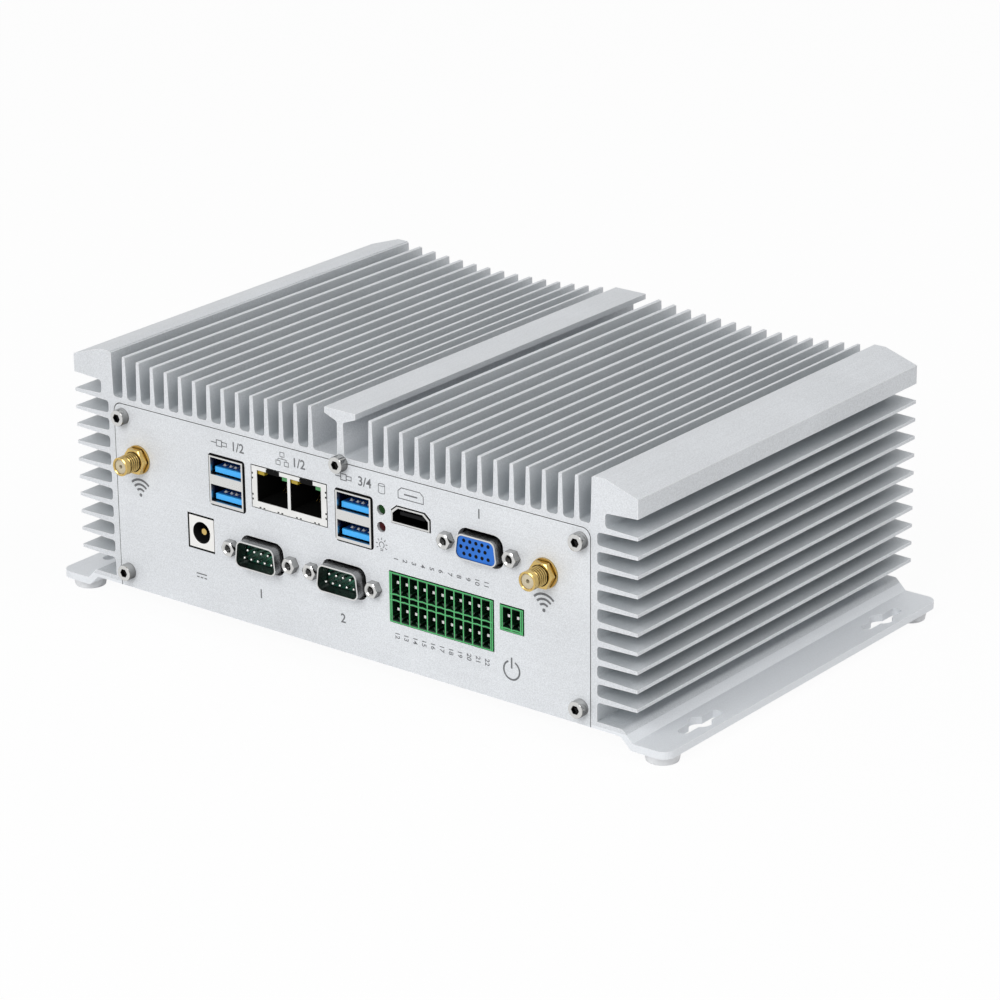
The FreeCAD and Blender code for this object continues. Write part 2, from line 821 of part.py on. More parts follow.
def front_panel():
    part = panel("front_panel", "0")
    drawing = sketch(part, "upper_openings")
    for x in STACKS:
        rectangle(drawing, f"{x} - stack_wide / 2 - cutout_gap", "stack_low - cutout_gap",
                  "(stack_wide + 2 * cutout_gap)", "(stack_tall + 2 * cutout_gap)")
    rectangle(drawing, "jack_x - jack_wide / 2 - cutout_gap", "jack_low - cutout_gap",
              "(jack_wide + 2 * cutout_gap)", "(jack_tall + 2 * cutout_gap)")
    chamfered(drawing, "cutout_gap")
    pocket(part, drawing, "panel_thick")
    drawing = sketch(part, "lower_openings")
    rectangle(drawing, "inlet_x - inlet_wide / 2 - cutout_gap", "inlet_low - cutout_gap",
              "(inlet_wide + 2 * cutout_gap)", "(inlet_tall + 2 * cutout_gap)")
    rectangle(drawing, BLOCK_LEFT + " - cutout_gap", "block_low - cutout_gap",
              f"({BLOCK_WIDE} + 2 * cutout_gap)", "(block_tall + 2 * cutout_gap)")
    rectangle(drawing, SMALL_LEFT + " - cutout_gap", "small_low - cutout_gap",
              f"({SMALL_WIDE} + 2 * cutout_gap)", "(small_tall + 2 * cutout_gap)")
    pocket(part, drawing, "panel_thick")
    drawing = sketch(part, "shielded_openings")
    for x in SERIALS:
        shield(drawing, x, "serial_level", "shell_wide", "shell_tall", "shell_gap")
    shield(drawing, "analog_x", "analog_level", "analog_wide", "analog_tall", "analog_gap")
    pocket(part, drawing, "panel_thick")
    drawing = sketch(part, "round_openings")
    for x, level in JACKSCREWS:
        six_sided(drawing, x, level, "jackscrew_thread + 4 * fit")
    for x in ANTENNAS:
        circle(drawing, x, "antenna_level", "antenna_thread + 4 * fit")
    for level in ("light_high", "light_low"):
        circle(drawing, "light_x", level, "light_width + 2 * fit")
    pocket(part, drawing, "panel_thick")
    node("front_panel", part)


def bottom_plate():
    """The plate that closes the bay from below, countersunk for its screws."""
    wide = "(panel_width - 2 * seam)"
    plate = centred("plate_sheet", wide, "depth - 2 * panel_thick", "plate_thick", "0", "panel_thick", "0")
    sink = "(screw_head - screw_body) / 2"
    tools = []
    screws = []
    for i, side in enumerate(("-", "")):
        for k, along in enumerate(("plate_screw_end", "depth - plate_screw_end")):
            at = (side + "screw_x", along, "0")
            tools += [
                cone(f"plate_sink_{i}{k}", "screw_head + 4 * fit", "screw_body + 4 * fit", sink, at),
                hexagon(f"plate_hole_{i}{k}", "screw_body + 4 * fit", "plate_thick", at, "z"),
            ]
            screws.append(join(f"plate_screw_{i}{k}", [
                cone(f"plate_screw_head_{i}{k}", "screw_head", "screw_body", sink, at),
                hexagon(f"plate_screw_body_{i}{k}", "screw_body", "screw_reach", at, "z"),
            ]))
    node("bottom_plate", cut("plate_drilled", plate, tools))
    group("plate_screws", screws)


def cap_screw(name, across, up, rear=False):
    """A socket head cap screw, entering at the front or at the rear."""
    face = "depth" if rear else "0"
    head = face if rear else "-screw_head_tall"
    socket = "depth + screw_head_tall - screw_hex_deep" if rear else "-screw_head_tall"
    tip = "depth - screw_reach" if rear else "0"
    return cut(name, join(name + "_blank", [
        rod(name + "_head", "screw_head", "screw_head_tall", (across, head, up)),
        hexagon(name + "_stem", "screw_body", "screw_reach", (across, tip, up)),
    ]), [hexagon(name + "_socket", "screw_hex", "screw_hex_deep", (across, socket, up))])


def panel_screws():
    for end, rear in (("front", False), ("rear", True)):
        group(end + "_screws", [cap_screw(f"{end}_screw_{i}", across, up, rear)
                                for i, (across, up) in enumerate(SCREW_SPOTS, start=1)])


def feet():
    """Tapered feet under the flanges, one near each end."""
    items = []
    for i, side in enumerate(("-", "")):
        for k, along in enumerate(("foot_inset", "depth - foot_inset")):
            items.append(cone(f"foot_{i}{k}", "foot_width - 2 * foot_taper", "foot_width", "foot_height",
                              (side + FOOT_MID, along, "-" + GROUND)))
    group("feet", items)


def boards():
    """Two boards, hung from the roof wall by spacers and from each other by pillars."""
    pillar_spots = [(x, along) for x in ("second_left + pillar_inset", "second_right - pillar_inset")
                    for along in ("pillar_front", "pillar_back")]
    hole = "screw_body + 4 * fit"
    board = centred("main_sheet", f"2 * {MAIN_HALF}", MAIN_DEPTH, "board_thick",
                    "0", "board_front", "main_level")
    holes = [hexagon(f"main_hole_{i}", hole, "board_thick", (x, y, "main_level"), "z")
             for i, (x, y) in enumerate(SPACER_SPOTS + pillar_spots)]
    node("main_board", cut("main_drilled", board, holes))
    board = box("second_sheet", "second_right - second_left", "second_depth", "board_thick",
                ("second_left", "board_front", "second_level"))
    holes = [hexagon(f"second_hole_{i}", hole, "board_thick", (x, y, "second_level"), "z")
             for i, (x, y) in enumerate(pillar_spots)]
    node("second_board", cut("second_drilled", board, holes))
    spacers = []
    screws = []
    for i, (x, y) in enumerate(SPACER_SPOTS):
        spacers.append(cut(f"spacer_{i}", join(f"spacer_blank_{i}", [
            hexagon(f"spacer_hex_{i}", "spacer_hex", f"{CEILING} - {MAIN_TOP}", (x, y, MAIN_TOP), "z"),
            hexagon(f"spacer_stud_{i}", "screw_body", "stud_reach", (x, y, CEILING), "z"),
        ]), [hexagon(f"spacer_thread_{i}", THREAD_HOLE, "screw_grip + thread_spare", (x, y, MAIN_TOP), "z")]))
        screws.append(board_screw(f"main_screw_{i}", x, y, "main_level", "board_thick + screw_grip"))
    pillars = []
    nuts = []
    for i, (x, y) in enumerate(pillar_spots):
        pillars.append(cut(f"pillar_{i}", join(f"pillar_blank_{i}", [
            hexagon(f"pillar_hex_{i}", "spacer_hex", f"main_level - {SECOND_TOP}", (x, y, SECOND_TOP), "z"),
            hexagon(f"pillar_stud_{i}", "screw_body", "board_thick + nut_tall", (x, y, "main_level"), "z"),
        ]), [hexagon(f"pillar_thread_{i}", THREAD_HOLE, "screw_grip + thread_spare",
                     (x, y, SECOND_TOP), "z")]))
        nuts.append(cut(f"pillar_nut_{i}", hexagon(f"pillar_nut_hex_{i}", "spacer_hex", "nut_tall",
                                                   (x, y, MAIN_TOP), "z"),
                        [hexagon(f"pillar_nut_hole_{i}", THREAD_HOLE, "nut_tall", (x, y, MAIN_TOP), "z")]))
        screws.append(board_screw(f"second_screw_{i}", x, y, "second_level", "board_thick + screw_grip"))
    group("board_spacers", spacers)
    group("board_pillars", pillars)
    group("pillar_nuts", nuts)
    group("board_screws", screws)


def board_screw(name, x, y, level, reach):
    """A screw with a low round head under a board."""
    return join(name, [
        hexagon(name + "_head", "screw_head", "screw_head_low", (x, y, level + " - screw_head_low"), "z"),
        hexagon(name + "_stem", "screw_body", reach, (x, y, level), "z"),
    ])


def processor():
    """The processor faces up and sends its heat through a pad and a block into the roof wall."""
    start = "chip_y - chip_side / 2"
    chip = join("chip_package", [
        centred("chip_base_plate", "chip_side", "chip_side", "chip_base", "chip_x", start, MAIN_TOP),
        centred("chip_lid", "lid_side", "lid_side", "lid_tall", "chip_x", "chip_y - lid_side / 2",
                MAIN_TOP + " + chip_base"),
    ])
    node("processor", chip)
    lid_top = MAIN_TOP + " + chip_base + lid_tall"
    node("thermal_pad", centred("pad_sheet", "lid_side", "lid_side", "pad_thick", "chip_x",
                                "chip_y - lid_side / 2", lid_top))
    low = lid_top + " + pad_thick"
    tall = f"({CEILING} - ({low}))"
    block = centred("block_bar", "block_side", "block_side", tall, "chip_x", "chip_y - block_side / 2", low)
    tools = []
    screws = []
    for i, side in enumerate(("-", "+")):
        for k, end in enumerate(("-", "+")):
            at = (f"chip_x {side} (block_side / 2 - block_screw_inset)",
                  f"chip_y {end} (block_side / 2 - block_screw_inset)", low)
            tools.append(hexagon(f"block_hole_{i}{k}", "screw_body + 4 * fit", tall, at, "z"))
            tools.append(hexagon(f"block_sink_{i}{k}", "screw_head + 4 * fit", "screw_head_low", at, "z"))
            screws.append(join(f"block_screw_{i}{k}", [
                hexagon(f"block_screw_head_{i}{k}", "screw_head", "screw_head_low", at, "z"),
                hexagon(f"block_screw_stem_{i}{k}", "screw_body", f"{tall} + stud_reach", at, "z"),
            ]))
    node("heat_block", cut("block_drilled", block, tools))
    group("heat_block_screws", screws)


def memory():
    low = "main_level - memory_tall"
    slot = f"{low} + memory_tall / 2 - memory_thick / 2"
    frame = centred("memory_frame", "memory_wide + 2 * memory_arm", "memory_long", "memory_tall",
                    "memory_x", "memory_y", low)
    inner = centred("memory_gap", "memory_wide + 8 * fit", "memory_long", "memory_tall", "memory_x",
                    "memory_y + memory_bar", low)
    seat = centred("memory_slot", "memory_wide + 8 * fit", "memory_long", "memory_thick + 2 * fit",
                   "memory_x", "memory_y + card_seat", slot + " - fit")
    node("memory_socket", cut("memory_cradle", frame, [inner, seat]))
    node("memory_module", centred("memory_card", "memory_wide", "memory_long", "memory_thick", "memory_x",
                                  "memory_y + card_seat + fit", slot))


def cards():
    """The storage card and the radio card lie under the main board, each held by a screw at its end."""
    sockets = []
    screws = []
    level = "main_level - socket_tall / 2 - card_thick / 2"
    for name in ("storage", "radio"):
        x, length, name = name + "_x", name + "_long", name + "_card"
        bar = centred(name + "_bar", "card_wide + 2 * socket_cheek", "socket_deep", "socket_tall",
                      x, CARD_START, "main_level - socket_tall")
        slot = centred(name + "_slot", "(card_wide + 2 * fit)", "socket_deep", "(card_thick + 2 * fit)", x,
                       CARD_START + " + card_seat", level + " - fit")
        sockets.append(cut(name + "_socket", bar, [slot]))
        end = f"({CARD_START} + card_seat + {length})"
        sheet_part = join(name + "_loaded", [
            centred(name + "_sheet", "card_wide", length, "card_thick",
                    x, CARD_START + " + card_seat", level),
            centred(name + "_chip", "card_chip", "card_chip", "card_chip_thick", x,
                    f"{end} - ({length} + card_chip) / 2", level + " - card_chip_thick"),
        ])
        node(name, cut(name + "_notched", sheet_part, [
            hexagon(name + "_notch", "card_screw + 4 * fit", "card_thick", (x, end, level), "z")]))
        screws.append(join(name + "_screw", [
            hexagon(name + "_screw_head", "card_screw_head", "card_thick",
                    (x, end, level + " - card_thick"), "z"),
            hexagon(name + "_screw_stem", "card_screw", "card_thick", (x, end, level), "z"),
            hexagon(name + "_screw_base", "card_post", f"main_level - ({level} + card_thick)",
                    (x, end, level + " + card_thick"), "z"),
        ]))
    group("card_sockets", sockets)
    group("card_screws", screws)


def battery():
    low = "main_level - battery_tall - battery_base"
    at = ("battery_x", "depth - battery_end")
    side = "battery_width + 2 * battery_rim"
    cup = box("battery_cup", side, side, "battery_tall + battery_base",
              (*(f"{middle} - ({side}) / 2" for middle in at), low))
    well = rod("battery_well", "battery_width + 2 * fit", "battery_tall", (*at, low), "z")
    node("battery_holder", cut("battery_tray", cup, [well]))
    node("clock_battery", rod("battery_cell", "battery_width", "battery_tall - fit",
                              (*at, low + " + fit"), "z"))


def board_link():
    """A stacking connector that joins the two boards."""
    half = f"((main_level - {SECOND_TOP}) / 2)"
    node("link_plug", centred("link_lower", "link_long", "link_deep", half, "link_x", "link_y", SECOND_TOP))
    node("link_socket", centred("link_upper", "link_long", "link_deep", half, "link_x", "link_y",
                                f"{SECOND_TOP} + {half}"))


def data_ports():
    """Two stacks of two ports. Each tongue carries its contacts on top."""
    for i, x in enumerate(STACKS, start=1):
        name = f"data_port_{i}"
        part = body(name + "_can")
        drawing = sketch(part, name + "_outer", lift="stack_proud")
        rectangle(drawing, x + " - stack_wide / 2", "stack_low", "stack_wide", "stack_tall")
        pad(part, drawing, "stack_proud + stack_deep")
        drawing = sketch(part, name + "_mouths", lift="stack_proud")
        inner = "(stack_wide - 2 * stack_wall)"
        lows = ["stack_low + stack_lip", "stack_low + stack_lip + stack_step"]
        for low in lows:
            rectangle(drawing, x + " - stack_wide / 2 + stack_wall", low, inner, "stack_mouth")
        pocket(part, drawing, "stack_proud + stack_deep - stack_back")
        node(name + "_shell", part)
        tongues = []
        for k, low in enumerate(lows):
            tongues.append(join(f"{name}_tongue_{k}", [
                centred(f"{name}_blade_{k}", "tongue_wide", "tongue_end - tongue_inset", "tongue_thick",
                        x, "tongue_inset", low + " + tongue_low"),
                centred(f"{name}_root_{k}", inner, "stack_deep - stack_back - tongue_end", "stack_mouth", x,
                        "tongue_end", low),
            ]))
        group(name + "_tongues", tongues)


def network_jack():
    """Twin jack: a sheet metal shield round a moulded insert with two bays and their latch slots."""
    left = "jack_x - jack_wide / 2"
    can = box("jack_can", "jack_wide", "jack_deep", "jack_tall", (left, "0", "jack_low"))
    core = ("jack_wide - 2 * jack_wall", "jack_deep - jack_wall", "jack_tall - 2 * jack_wall")
    corner = (left + " + jack_wall", "jack_wall", "jack_low + jack_wall")
    bays = {}
    for tag in ("shield", "insert"):
        bays[tag] = []
        for i, start in enumerate(("jack_x - jack_bar / 2 - jack_bay", "jack_x + jack_bar / 2")):
            bays[tag].append(box(f"jack_bay_{tag}_{i}", "jack_bay", "jack_bay_deep", "jack_bay_tall",
                                 (start, "0", "jack_low + jack_bay_low")))
            bays[tag].append(box(f"jack_latch_{tag}_{i}", "latch_wide", "latch_deep",
                                 "jack_tall - jack_bay_low - jack_bay_tall - jack_wall",
                                 (start + " + jack_bay / 2 - latch_wide / 2", "0",
                                  "jack_low + jack_bay_low + jack_bay_tall")))
    node("network_jack_shield", cut("jack_shield", can, [box("jack_hollow", *core, corner)] + bays["shield"]))
    node("network_jack_insert", cut("jack_insert", box("jack_core", *core, corner), bays["insert"]))
    lamps = []
    lamp_low = "jack_low + jack_bay_low + jack_bay_tall - lamp_tall"
    for i, start in enumerate(("jack_x - jack_bar / 2 - jack_bay", "jack_x + jack_bar / 2")):
        for k, offset in enumerate(("", " + jack_bay - lamp_wide")):
            lamps.append(box(f"jack_lamp_{i}{k}", "lamp_wide", "lamp_deep", "lamp_tall",
                             (start + offset, "lamp_inset", lamp_low)))
    group("network_jack_lights", lamps)


def digital_video():
    part = body("video_can")
    drawing = sketch(part, "video_outer", lift="video_proud")
    chamfered(drawing)
    pad(part, drawing, "video_proud + video_deep")
    drawing = sketch(part, "video_mouth", lift="video_proud")
    chamfered(drawing, "(-video_wall)")
    pocket(part, drawing, "video_proud + video_deep - video_back")
    node("video_socket_shell", part)
    part = body("video_core")
    drawing = sketch(part, "video_fill", lift="-(video_deep - video_back - video_core)")
    chamfered(drawing, "(-video_wall)")
    pad(part, drawing, "video_core")
    drawing = sketch(part, "video_blade", lift="-video_blade_inset")
    rectangle(drawing, "video_x - video_tongue / 2", "video_low + video_blade_low", "video_tongue",
              "video_blade_thick")
    pad(part, drawing, "video_deep - video_back - video_core - video_blade_inset")
    node("video_socket_tongue", part)


def shielded_port(name, x, level, wide, tall, proud, recess):
    """A keyed metal shell on a flange behind the panel, and the insulator that fills it."""
    part = body(name + "_can")
    drawing = sketch(part, name + "_outer", lift=proud)
    shield(drawing, x, level, wide, tall)
    pad(part, drawing, f"{proud} + panel_thick + shell_plate_thick")
    drawing = sketch(part, name + "_plate", lift="-panel_thick")
    rectangle(drawing, f"{x} - shell_plate_wide / 2", f"{level} - shell_plate_tall / 2", "shell_plate_wide",
              "shell_plate_tall")
    pad(part, drawing, "shell_plate_thick")
    drawing = sketch(part, name + "_mouth", lift=proud)
    shield(drawing, x, level, wide, tall, "(-shell_wall)")
    pocket(part, drawing, f"{proud} + panel_thick + shell_plate_thick")
    drawing = sketch(part, name + "_ears", lift="-panel_thick")
    for side in ("-", "+"):
        six_sided(drawing, f"{x} {side} jackscrew_span / 2", level, "jackscrew_thread + 4 * fit")
    pocket(part, drawing, "shell_plate_thick")
    node(name + "_shell", part)
    part = body(name + "_core")
    drawing = sketch(part, name + "_fill", lift=f"-({recess})")
    shield(drawing, x, level, wide, tall, "(-shell_wall)")
    pad(part, drawing, f"panel_thick + shell_body_deep - ({recess})")
    node(name + "_insulator", part)
    return part


def shielded_ports():
    pins = []
    for i, x in enumerate(SERIALS, start=1):
        shielded_port(f"serial_port_{i}", x, "serial_level", "shell_wide", "shell_tall", "shell_proud",
                      "insulator_inset")
        for count, side in ((5, "-"), (4, "+")):
            for k in range(count):
                pins.append(hexagon(f"serial_pin_{i}{count}{k}", "pin_width", "pin_proud + insulator_inset", (
                    f"{x} + ({k} - {(count - 1) / 2}) * pin_pitch", "-pin_proud",
                    f"serial_level {side} pin_rows / 2")))
    group("serial_pins", pins)
    part = shielded_port("analog_video", "analog_x", "analog_level", "analog_wide", "analog_tall",
                         "analog_proud", "analog_face - analog_proud")
    drawing = sketch(part, "analog_holes", lift="analog_proud - analog_face")
    for rank, shift in ((-1, 0.0), (0, -0.5), (1, 0.0)):
        for k in range(5):
            six_sided(drawing, f"analog_x + ({k - 2 + shift}) * hole_pitch",
                      f"analog_level + ({rank}) * hole_rows", "hole_width")
    pocket(part, drawing, "hole_deep")
    screws = []
    stem = "panel_thick + shell_plate_thick + jackscrew_reach"
    for i, (x, level) in enumerate(JACKSCREWS):
        tip = (x, "-jackscrew_tall", level)
        screws.append(cut(f"jackscrew_{i}", join(f"jackscrew_blank_{i}", [
            hexagon(f"jackscrew_hex_{i}", "jackscrew_hex", "jackscrew_tall", tip),
            hexagon(f"jackscrew_stem_{i}", "jackscrew_thread", stem, (x, "0", level)),
        ]), [rod(f"jackscrew_bore_{i}", "jackscrew_bore", "jackscrew_bore_deep", tip)]))
    group("jackscrews", screws)


def power_inlet():
    middle = "inlet_low + inlet_tall / 2"
    block = centred("inlet_block", "inlet_wide", "inlet_deep", "inlet_tall", "inlet_x", "0", "inlet_low")
    bore = rod("inlet_hole", "inlet_bore", "inlet_bore_deep", ("inlet_x", "0", middle))
    node("power_inlet", cut("inlet_bored", block, [bore]))
    node("power_inlet_pin", rod("inlet_post", "inlet_pin", "inlet_bore_deep - inlet_pin_inset",
                                ("inlet_x", "inlet_pin_inset", middle)))


def way(drawing, x, low):
    """The mouth of one way, narrowed by a pair of keys near its lower end."""
    half = "(way_pitch - way_wall) / 2"
    key = low + " + way_key_low + way_key_tall"
    right = f"{x} + {half}"
    left = f"{x} - {half}"
    outline(drawing, [
        (left, low),
        (right, low),
        (right, low + " + way_key_low"),
        (right + " - way_key", key),
        (right, key),
        (right, low + " + way_tall"),
        (left, low + " + way_tall"),
        (left, key),
        (left + " + way_key", key),
        (left, low + " + way_key_low"),
    ])


def terminal_blocks():
    """Two plug-in terminal block sockets, one of two rows and one of a single short row."""
    pins = []
    part = body("large_block")
    drawing = sketch(part, "large_outer", lift="block_proud")
    rectangle(drawing, BLOCK_LEFT, "block_low", BLOCK_WIDE, "block_tall")
    pad(part, drawing, "block_proud + block_deep")
    drawing = sketch(part, "large_ways", lift="block_proud")
    rows = ["block_low + block_lip", "block_low + block_lip + block_row"]
    for low in rows:
        way(drawing, "block_first", low)
    rectangle(drawing, "block_first - (way_pitch - way_wall) / 2",
              "block_low + block_lip + (way_tall + block_row - block_slot) / 2",
              "(way_pitch - way_wall)", "block_slot")
    mouths = pocket(part, drawing, "way_deep")
    row_of(part, mouths, "X_Axis", "(ways - 1) * way_pitch", "ways")
    node("terminal_block_large", part)
    part = body("small_block")
    drawing = sketch(part, "small_outer", lift="block_proud")
    rectangle(drawing, SMALL_LEFT, "small_low", SMALL_WIDE, "small_tall")
    pad(part, drawing, "block_proud + block_deep")
    drawing = sketch(part, "small_ways_mouth", lift="block_proud")
    way(drawing, "small_first", "small_low + small_lip")
    mouths = pocket(part, drawing, "way_deep")
    row_of(part, mouths, "X_Axis", "(small_ways - 1) * way_pitch", "small_ways")
    node("terminal_block_small", part)
    places = [("block_first", low, int(amount("ways"))) for low in rows]
    places.append(("small_first", "small_low + small_lip", int(amount("small_ways"))))
    for row, (first, low, count) in enumerate(places):
        for k in range(count):
            pins.append(centred(f"terminal_pin_{row}_{k}", "terminal_pin",
                                "way_deep - block_proud - terminal_inset", "terminal_pin",
                                f"{first} + {k} * way_pitch", "terminal_inset",
                                f"{low} + terminal_rise - terminal_pin / 2"))
    group("terminal_pins", pins)


def status_lights():
    for name, level in (("status_light_green", "light_high"), ("status_light_red", "light_low")):
        node(name, rod(name + "_lens", "light_width", "light_deep - light_inset",
                       ("light_x", "light_inset", level)))
    low = "(light_low - light_foot)"
    node("light_holder", centred("light_stand", "light_width + 2 * light_seat", "light_carrier",
                                 f"main_level - {low}", "light_x", "light_deep", low))


def antenna_sockets():
    """Threaded sockets with a washer and a nut outside the panel and a flange inside it."""
    nuts, washers, insulators = [], [], []
    level = "antenna_level"
    for i, x in enumerate(ANTENNAS, start=1):
        name = f"antenna_socket_{i}"
        tip = (x, "-antenna_reach", level)
        front = (x, "antenna_tip - antenna_reach", level)
        inside = (x, "panel_thick", level)
        node(name, cut(name + "_bored", join(name + "_blank", [
            rod(name + "_barrel", "antenna_thread", "antenna_reach + panel_thick", tip),
            hexagon(name + "_flange", "antenna_flange", "antenna_flange_thick", inside),
            rod(name + "_tail", "antenna_tail", "antenna_back", inside),
        ]), [rod(name + "_bore", "antenna_bore", "antenna_bore_deep", tip)]))
        insulators.append(cut(name + "_insulator",
                              rod(name + "_plug", "antenna_bore", "antenna_bore_deep - antenna_tip", front),
                              [rod(name + "_eye", "antenna_pin", "antenna_eye_deep", front)]))
        seat = (x, "-washer_thick", level)
        washers.append(cut(name + "_washer", rod(name + "_disc", "washer_width", "washer_thick", seat),
                           [rod(name + "_disc_hole", "antenna_thread + 2 * fit", "washer_thick", seat)]))
        seat = (x, "-washer_thick - nut_thick", level)
        nuts.append(cut(name + "_nut", hexagon(name + "_nut_hex", "nut_flats", "nut_thick", seat),
                        [rod(name + "_nut_hole", "antenna_thread + 2 * fit", "nut_thick", seat)]))
    group("antenna_insulators", insulators)
    group("antenna_nuts", nuts)
    group("antenna_washers", washers)


def antenna_leads():
    """Coaxial leads from the radio card to the antenna sockets, in straight runs."""
    tail = amount("panel_thick + antenna_back")
    card = amount("main_level - socket_tall / 2 - card_thick / 2")
    level = amount("antenna_level")
    radius = amount("lead_width / 2")
    shift = Vector(0, amount(FRONT), amount(GROUND))
    runs = (("antenna_left", "radio_x - radio_tap", "lead_turn + lead_gap"),
            ("antenna_right", "radio_x + radio_tap", "lead_turn"))
    for i, (x, tap, back) in enumerate(runs, start=1):
        far = amount(f"{CARD_START} + {back}")
        points = [Vector(amount(x), tail, level), Vector(amount(x), far, level),
                  Vector(amount(tap), far, level), Vector(amount(tap), far, card)]
        ring = Part.Wire(Part.makeCircle(radius, points[0], Vector(0, 1, 0)))
        lead = doc.addObject("Part::Feature", f"antenna_lead_{i}")
        lead.Shape = Part.makePolygon(points).makePipeShell([ring], True, False, 1)
        lead.Placement = Placement(shift, Rotation())
        node(f"antenna_lead_{i}", lead)


def check_and_write():
    """Stops on any failed object or shape, then writes one STEP file for each node."""
    doc.recompute()
    bad = [item.Name for item in doc.Objects if {"Invalid", "Error"} & set(item.State)]
    bad += [name for name, item in nodes.items() if item.Shape.isNull() or not item.Shape.isValid()]
    if bad:
        raise RuntimeError("failed: " + ", ".join(bad))
    os.makedirs("parts", exist_ok=True)
    for name, item in nodes.items():
        item.Shape.exportStep(f"parts/{name}.step")


housing()
front_panel()
node("rear_panel", panel("rear_panel", "depth - panel_thick"))
bottom_plate()
panel_screws()
feet()
boards()
processor()
memory()
cards()
battery()
board_link()
data_ports()
network_jack()
digital_video()
shielded_ports()
power_inlet()
terminal_blocks()
status_lights()
antenna_sockets()
antenna_leads()
check_and_write()
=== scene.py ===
"""Dresses a fanless industrial computer with finishes, small hardware, panel marks and a studio.

Lengths are millimetres in the tables below and metres in Blender. Places on the panels are given from the
middle of the front panel's lower edge: x to the right, z up, and depth inwards from the panel's face.
"""

import math

import bmesh
import bpy
import numpy as np
from bpy.props import FloatProperty, FloatVectorProperty, PointerProperty
from mathutils import Matrix, Vector


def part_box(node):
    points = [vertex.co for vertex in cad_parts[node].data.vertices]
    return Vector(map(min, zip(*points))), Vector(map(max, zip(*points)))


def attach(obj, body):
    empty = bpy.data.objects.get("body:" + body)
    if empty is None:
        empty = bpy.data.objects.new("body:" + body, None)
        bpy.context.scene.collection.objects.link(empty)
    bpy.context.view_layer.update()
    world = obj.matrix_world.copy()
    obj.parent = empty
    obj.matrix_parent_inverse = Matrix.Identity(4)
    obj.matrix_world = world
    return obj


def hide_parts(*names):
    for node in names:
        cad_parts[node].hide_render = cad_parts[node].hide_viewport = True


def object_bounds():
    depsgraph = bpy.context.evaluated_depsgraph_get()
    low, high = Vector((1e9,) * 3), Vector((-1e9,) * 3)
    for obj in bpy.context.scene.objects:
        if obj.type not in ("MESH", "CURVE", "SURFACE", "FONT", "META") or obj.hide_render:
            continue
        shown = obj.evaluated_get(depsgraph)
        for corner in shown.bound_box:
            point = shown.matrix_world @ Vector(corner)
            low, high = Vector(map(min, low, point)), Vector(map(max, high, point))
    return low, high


bl_info = {
    "name": "Fanless computer looks",
    "version": (1, 0, 0),
    "blender": (4, 5, 0),
    "location": "3D View > Sidebar > Computer",
    "description": "Finishes, connector details, panel marks and a studio for a finned industrial computer",
    "category": "Object",
}

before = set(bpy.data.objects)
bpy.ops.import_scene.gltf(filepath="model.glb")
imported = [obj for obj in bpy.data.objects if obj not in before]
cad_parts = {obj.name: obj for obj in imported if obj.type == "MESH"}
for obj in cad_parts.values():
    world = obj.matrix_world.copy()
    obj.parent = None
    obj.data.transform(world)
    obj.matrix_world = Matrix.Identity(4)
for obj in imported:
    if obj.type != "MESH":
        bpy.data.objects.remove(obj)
CAD_BOX = [list(corner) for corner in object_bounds()]
MM = 0.001
TURN = 2 * math.pi

# The front panel's face and lower edge, which every place below is measured from.
PANEL_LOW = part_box("front_panel")[0]
FACE = PANEL_LOW.y
EDGE = PANEL_LOW.z
FRONT = (0, -1, 0)
BACK = (0, 1, 0)
UP = (0, 0, 1)

# Ways in a row of the large terminal block, the pitch of both blocks, and how far the flat sheets of painted
# shade over seams, gaps and mouths stand off the face behind them.
LARGE_BLOCK_WAYS = 11
WAY_PITCH = 3.5
SKIN = 0.02

# The network jack's two bays, across from its middle.
BAYS = (-6.85, 6.85)


def place(x, depth, z):
    """Metres in the row's frame, for millimetres from the middle of the front panel's lower edge."""
    return np.stack(np.broadcast_arrays(
        np.asarray(x) * MM, FACE + np.asarray(depth) * MM, EDGE + np.asarray(z) * MM), axis=-1)


def middle(node):
    """The middle of a CAD node's box, in the panel's millimetres."""
    low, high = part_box(node)
    centre = (low + high) / 2
    return centre.x / MM, (centre.y - FACE) / MM, (centre.z - EDGE) / MM


def borders(node):
    """The left, right, bottom and top of a CAD node's box, in the panel's millimetres."""
    low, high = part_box(node)
    return low.x / MM, high.x / MM, (low.z - EDGE) / MM, (high.z - EDGE) / MM


def start_of(node):
    """How far behind the panel's face a CAD node starts, in millimetres."""
    return (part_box(node)[0].y - FACE) / MM


def end_of(node):
    """How far behind the panel's face a CAD node ends, in millimetres."""
    return (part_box(node)[1].y - FACE) / MM


def srgb(red, green, blue):
    """Linear colour of a display colour with channels from 0 to 255."""
    shares = np.array((red, green, blue)) / 255
    linear = np.where(shares > 0.04045, ((shares + 0.055) / 1.055) ** 2.4, shares / 12.92)
    return (*(float(share) for share in linear), 1.0)


# Meshes

def grid(rows, columns, wrapped):
    """Quads over a grid of points, closed across its columns where it is wrapped."""
    across = columns if wrapped else columns - 1
    row, column = np.meshgrid(np.arange(rows - 1), np.arange(across), indexing="ij")
    here = row * columns + column
    right = row * columns + (column + 1) % columns
    return np.stack((here, right, right + columns, here + columns), axis=-1).reshape(-1, 4)


def turned_out(points, quads, outward):
    """The quads with those turned round whose normal, the cross product of their diagonals, leans away from a
    direction."""
    corners = points[quads]
    normals = np.cross(corners[:, 2] - corners[:, 0], corners[:, 3] - corners[:, 1])
    return np.where(normals @ np.array(outward) < 0, quads[:, ::-1].T, quads.T).T


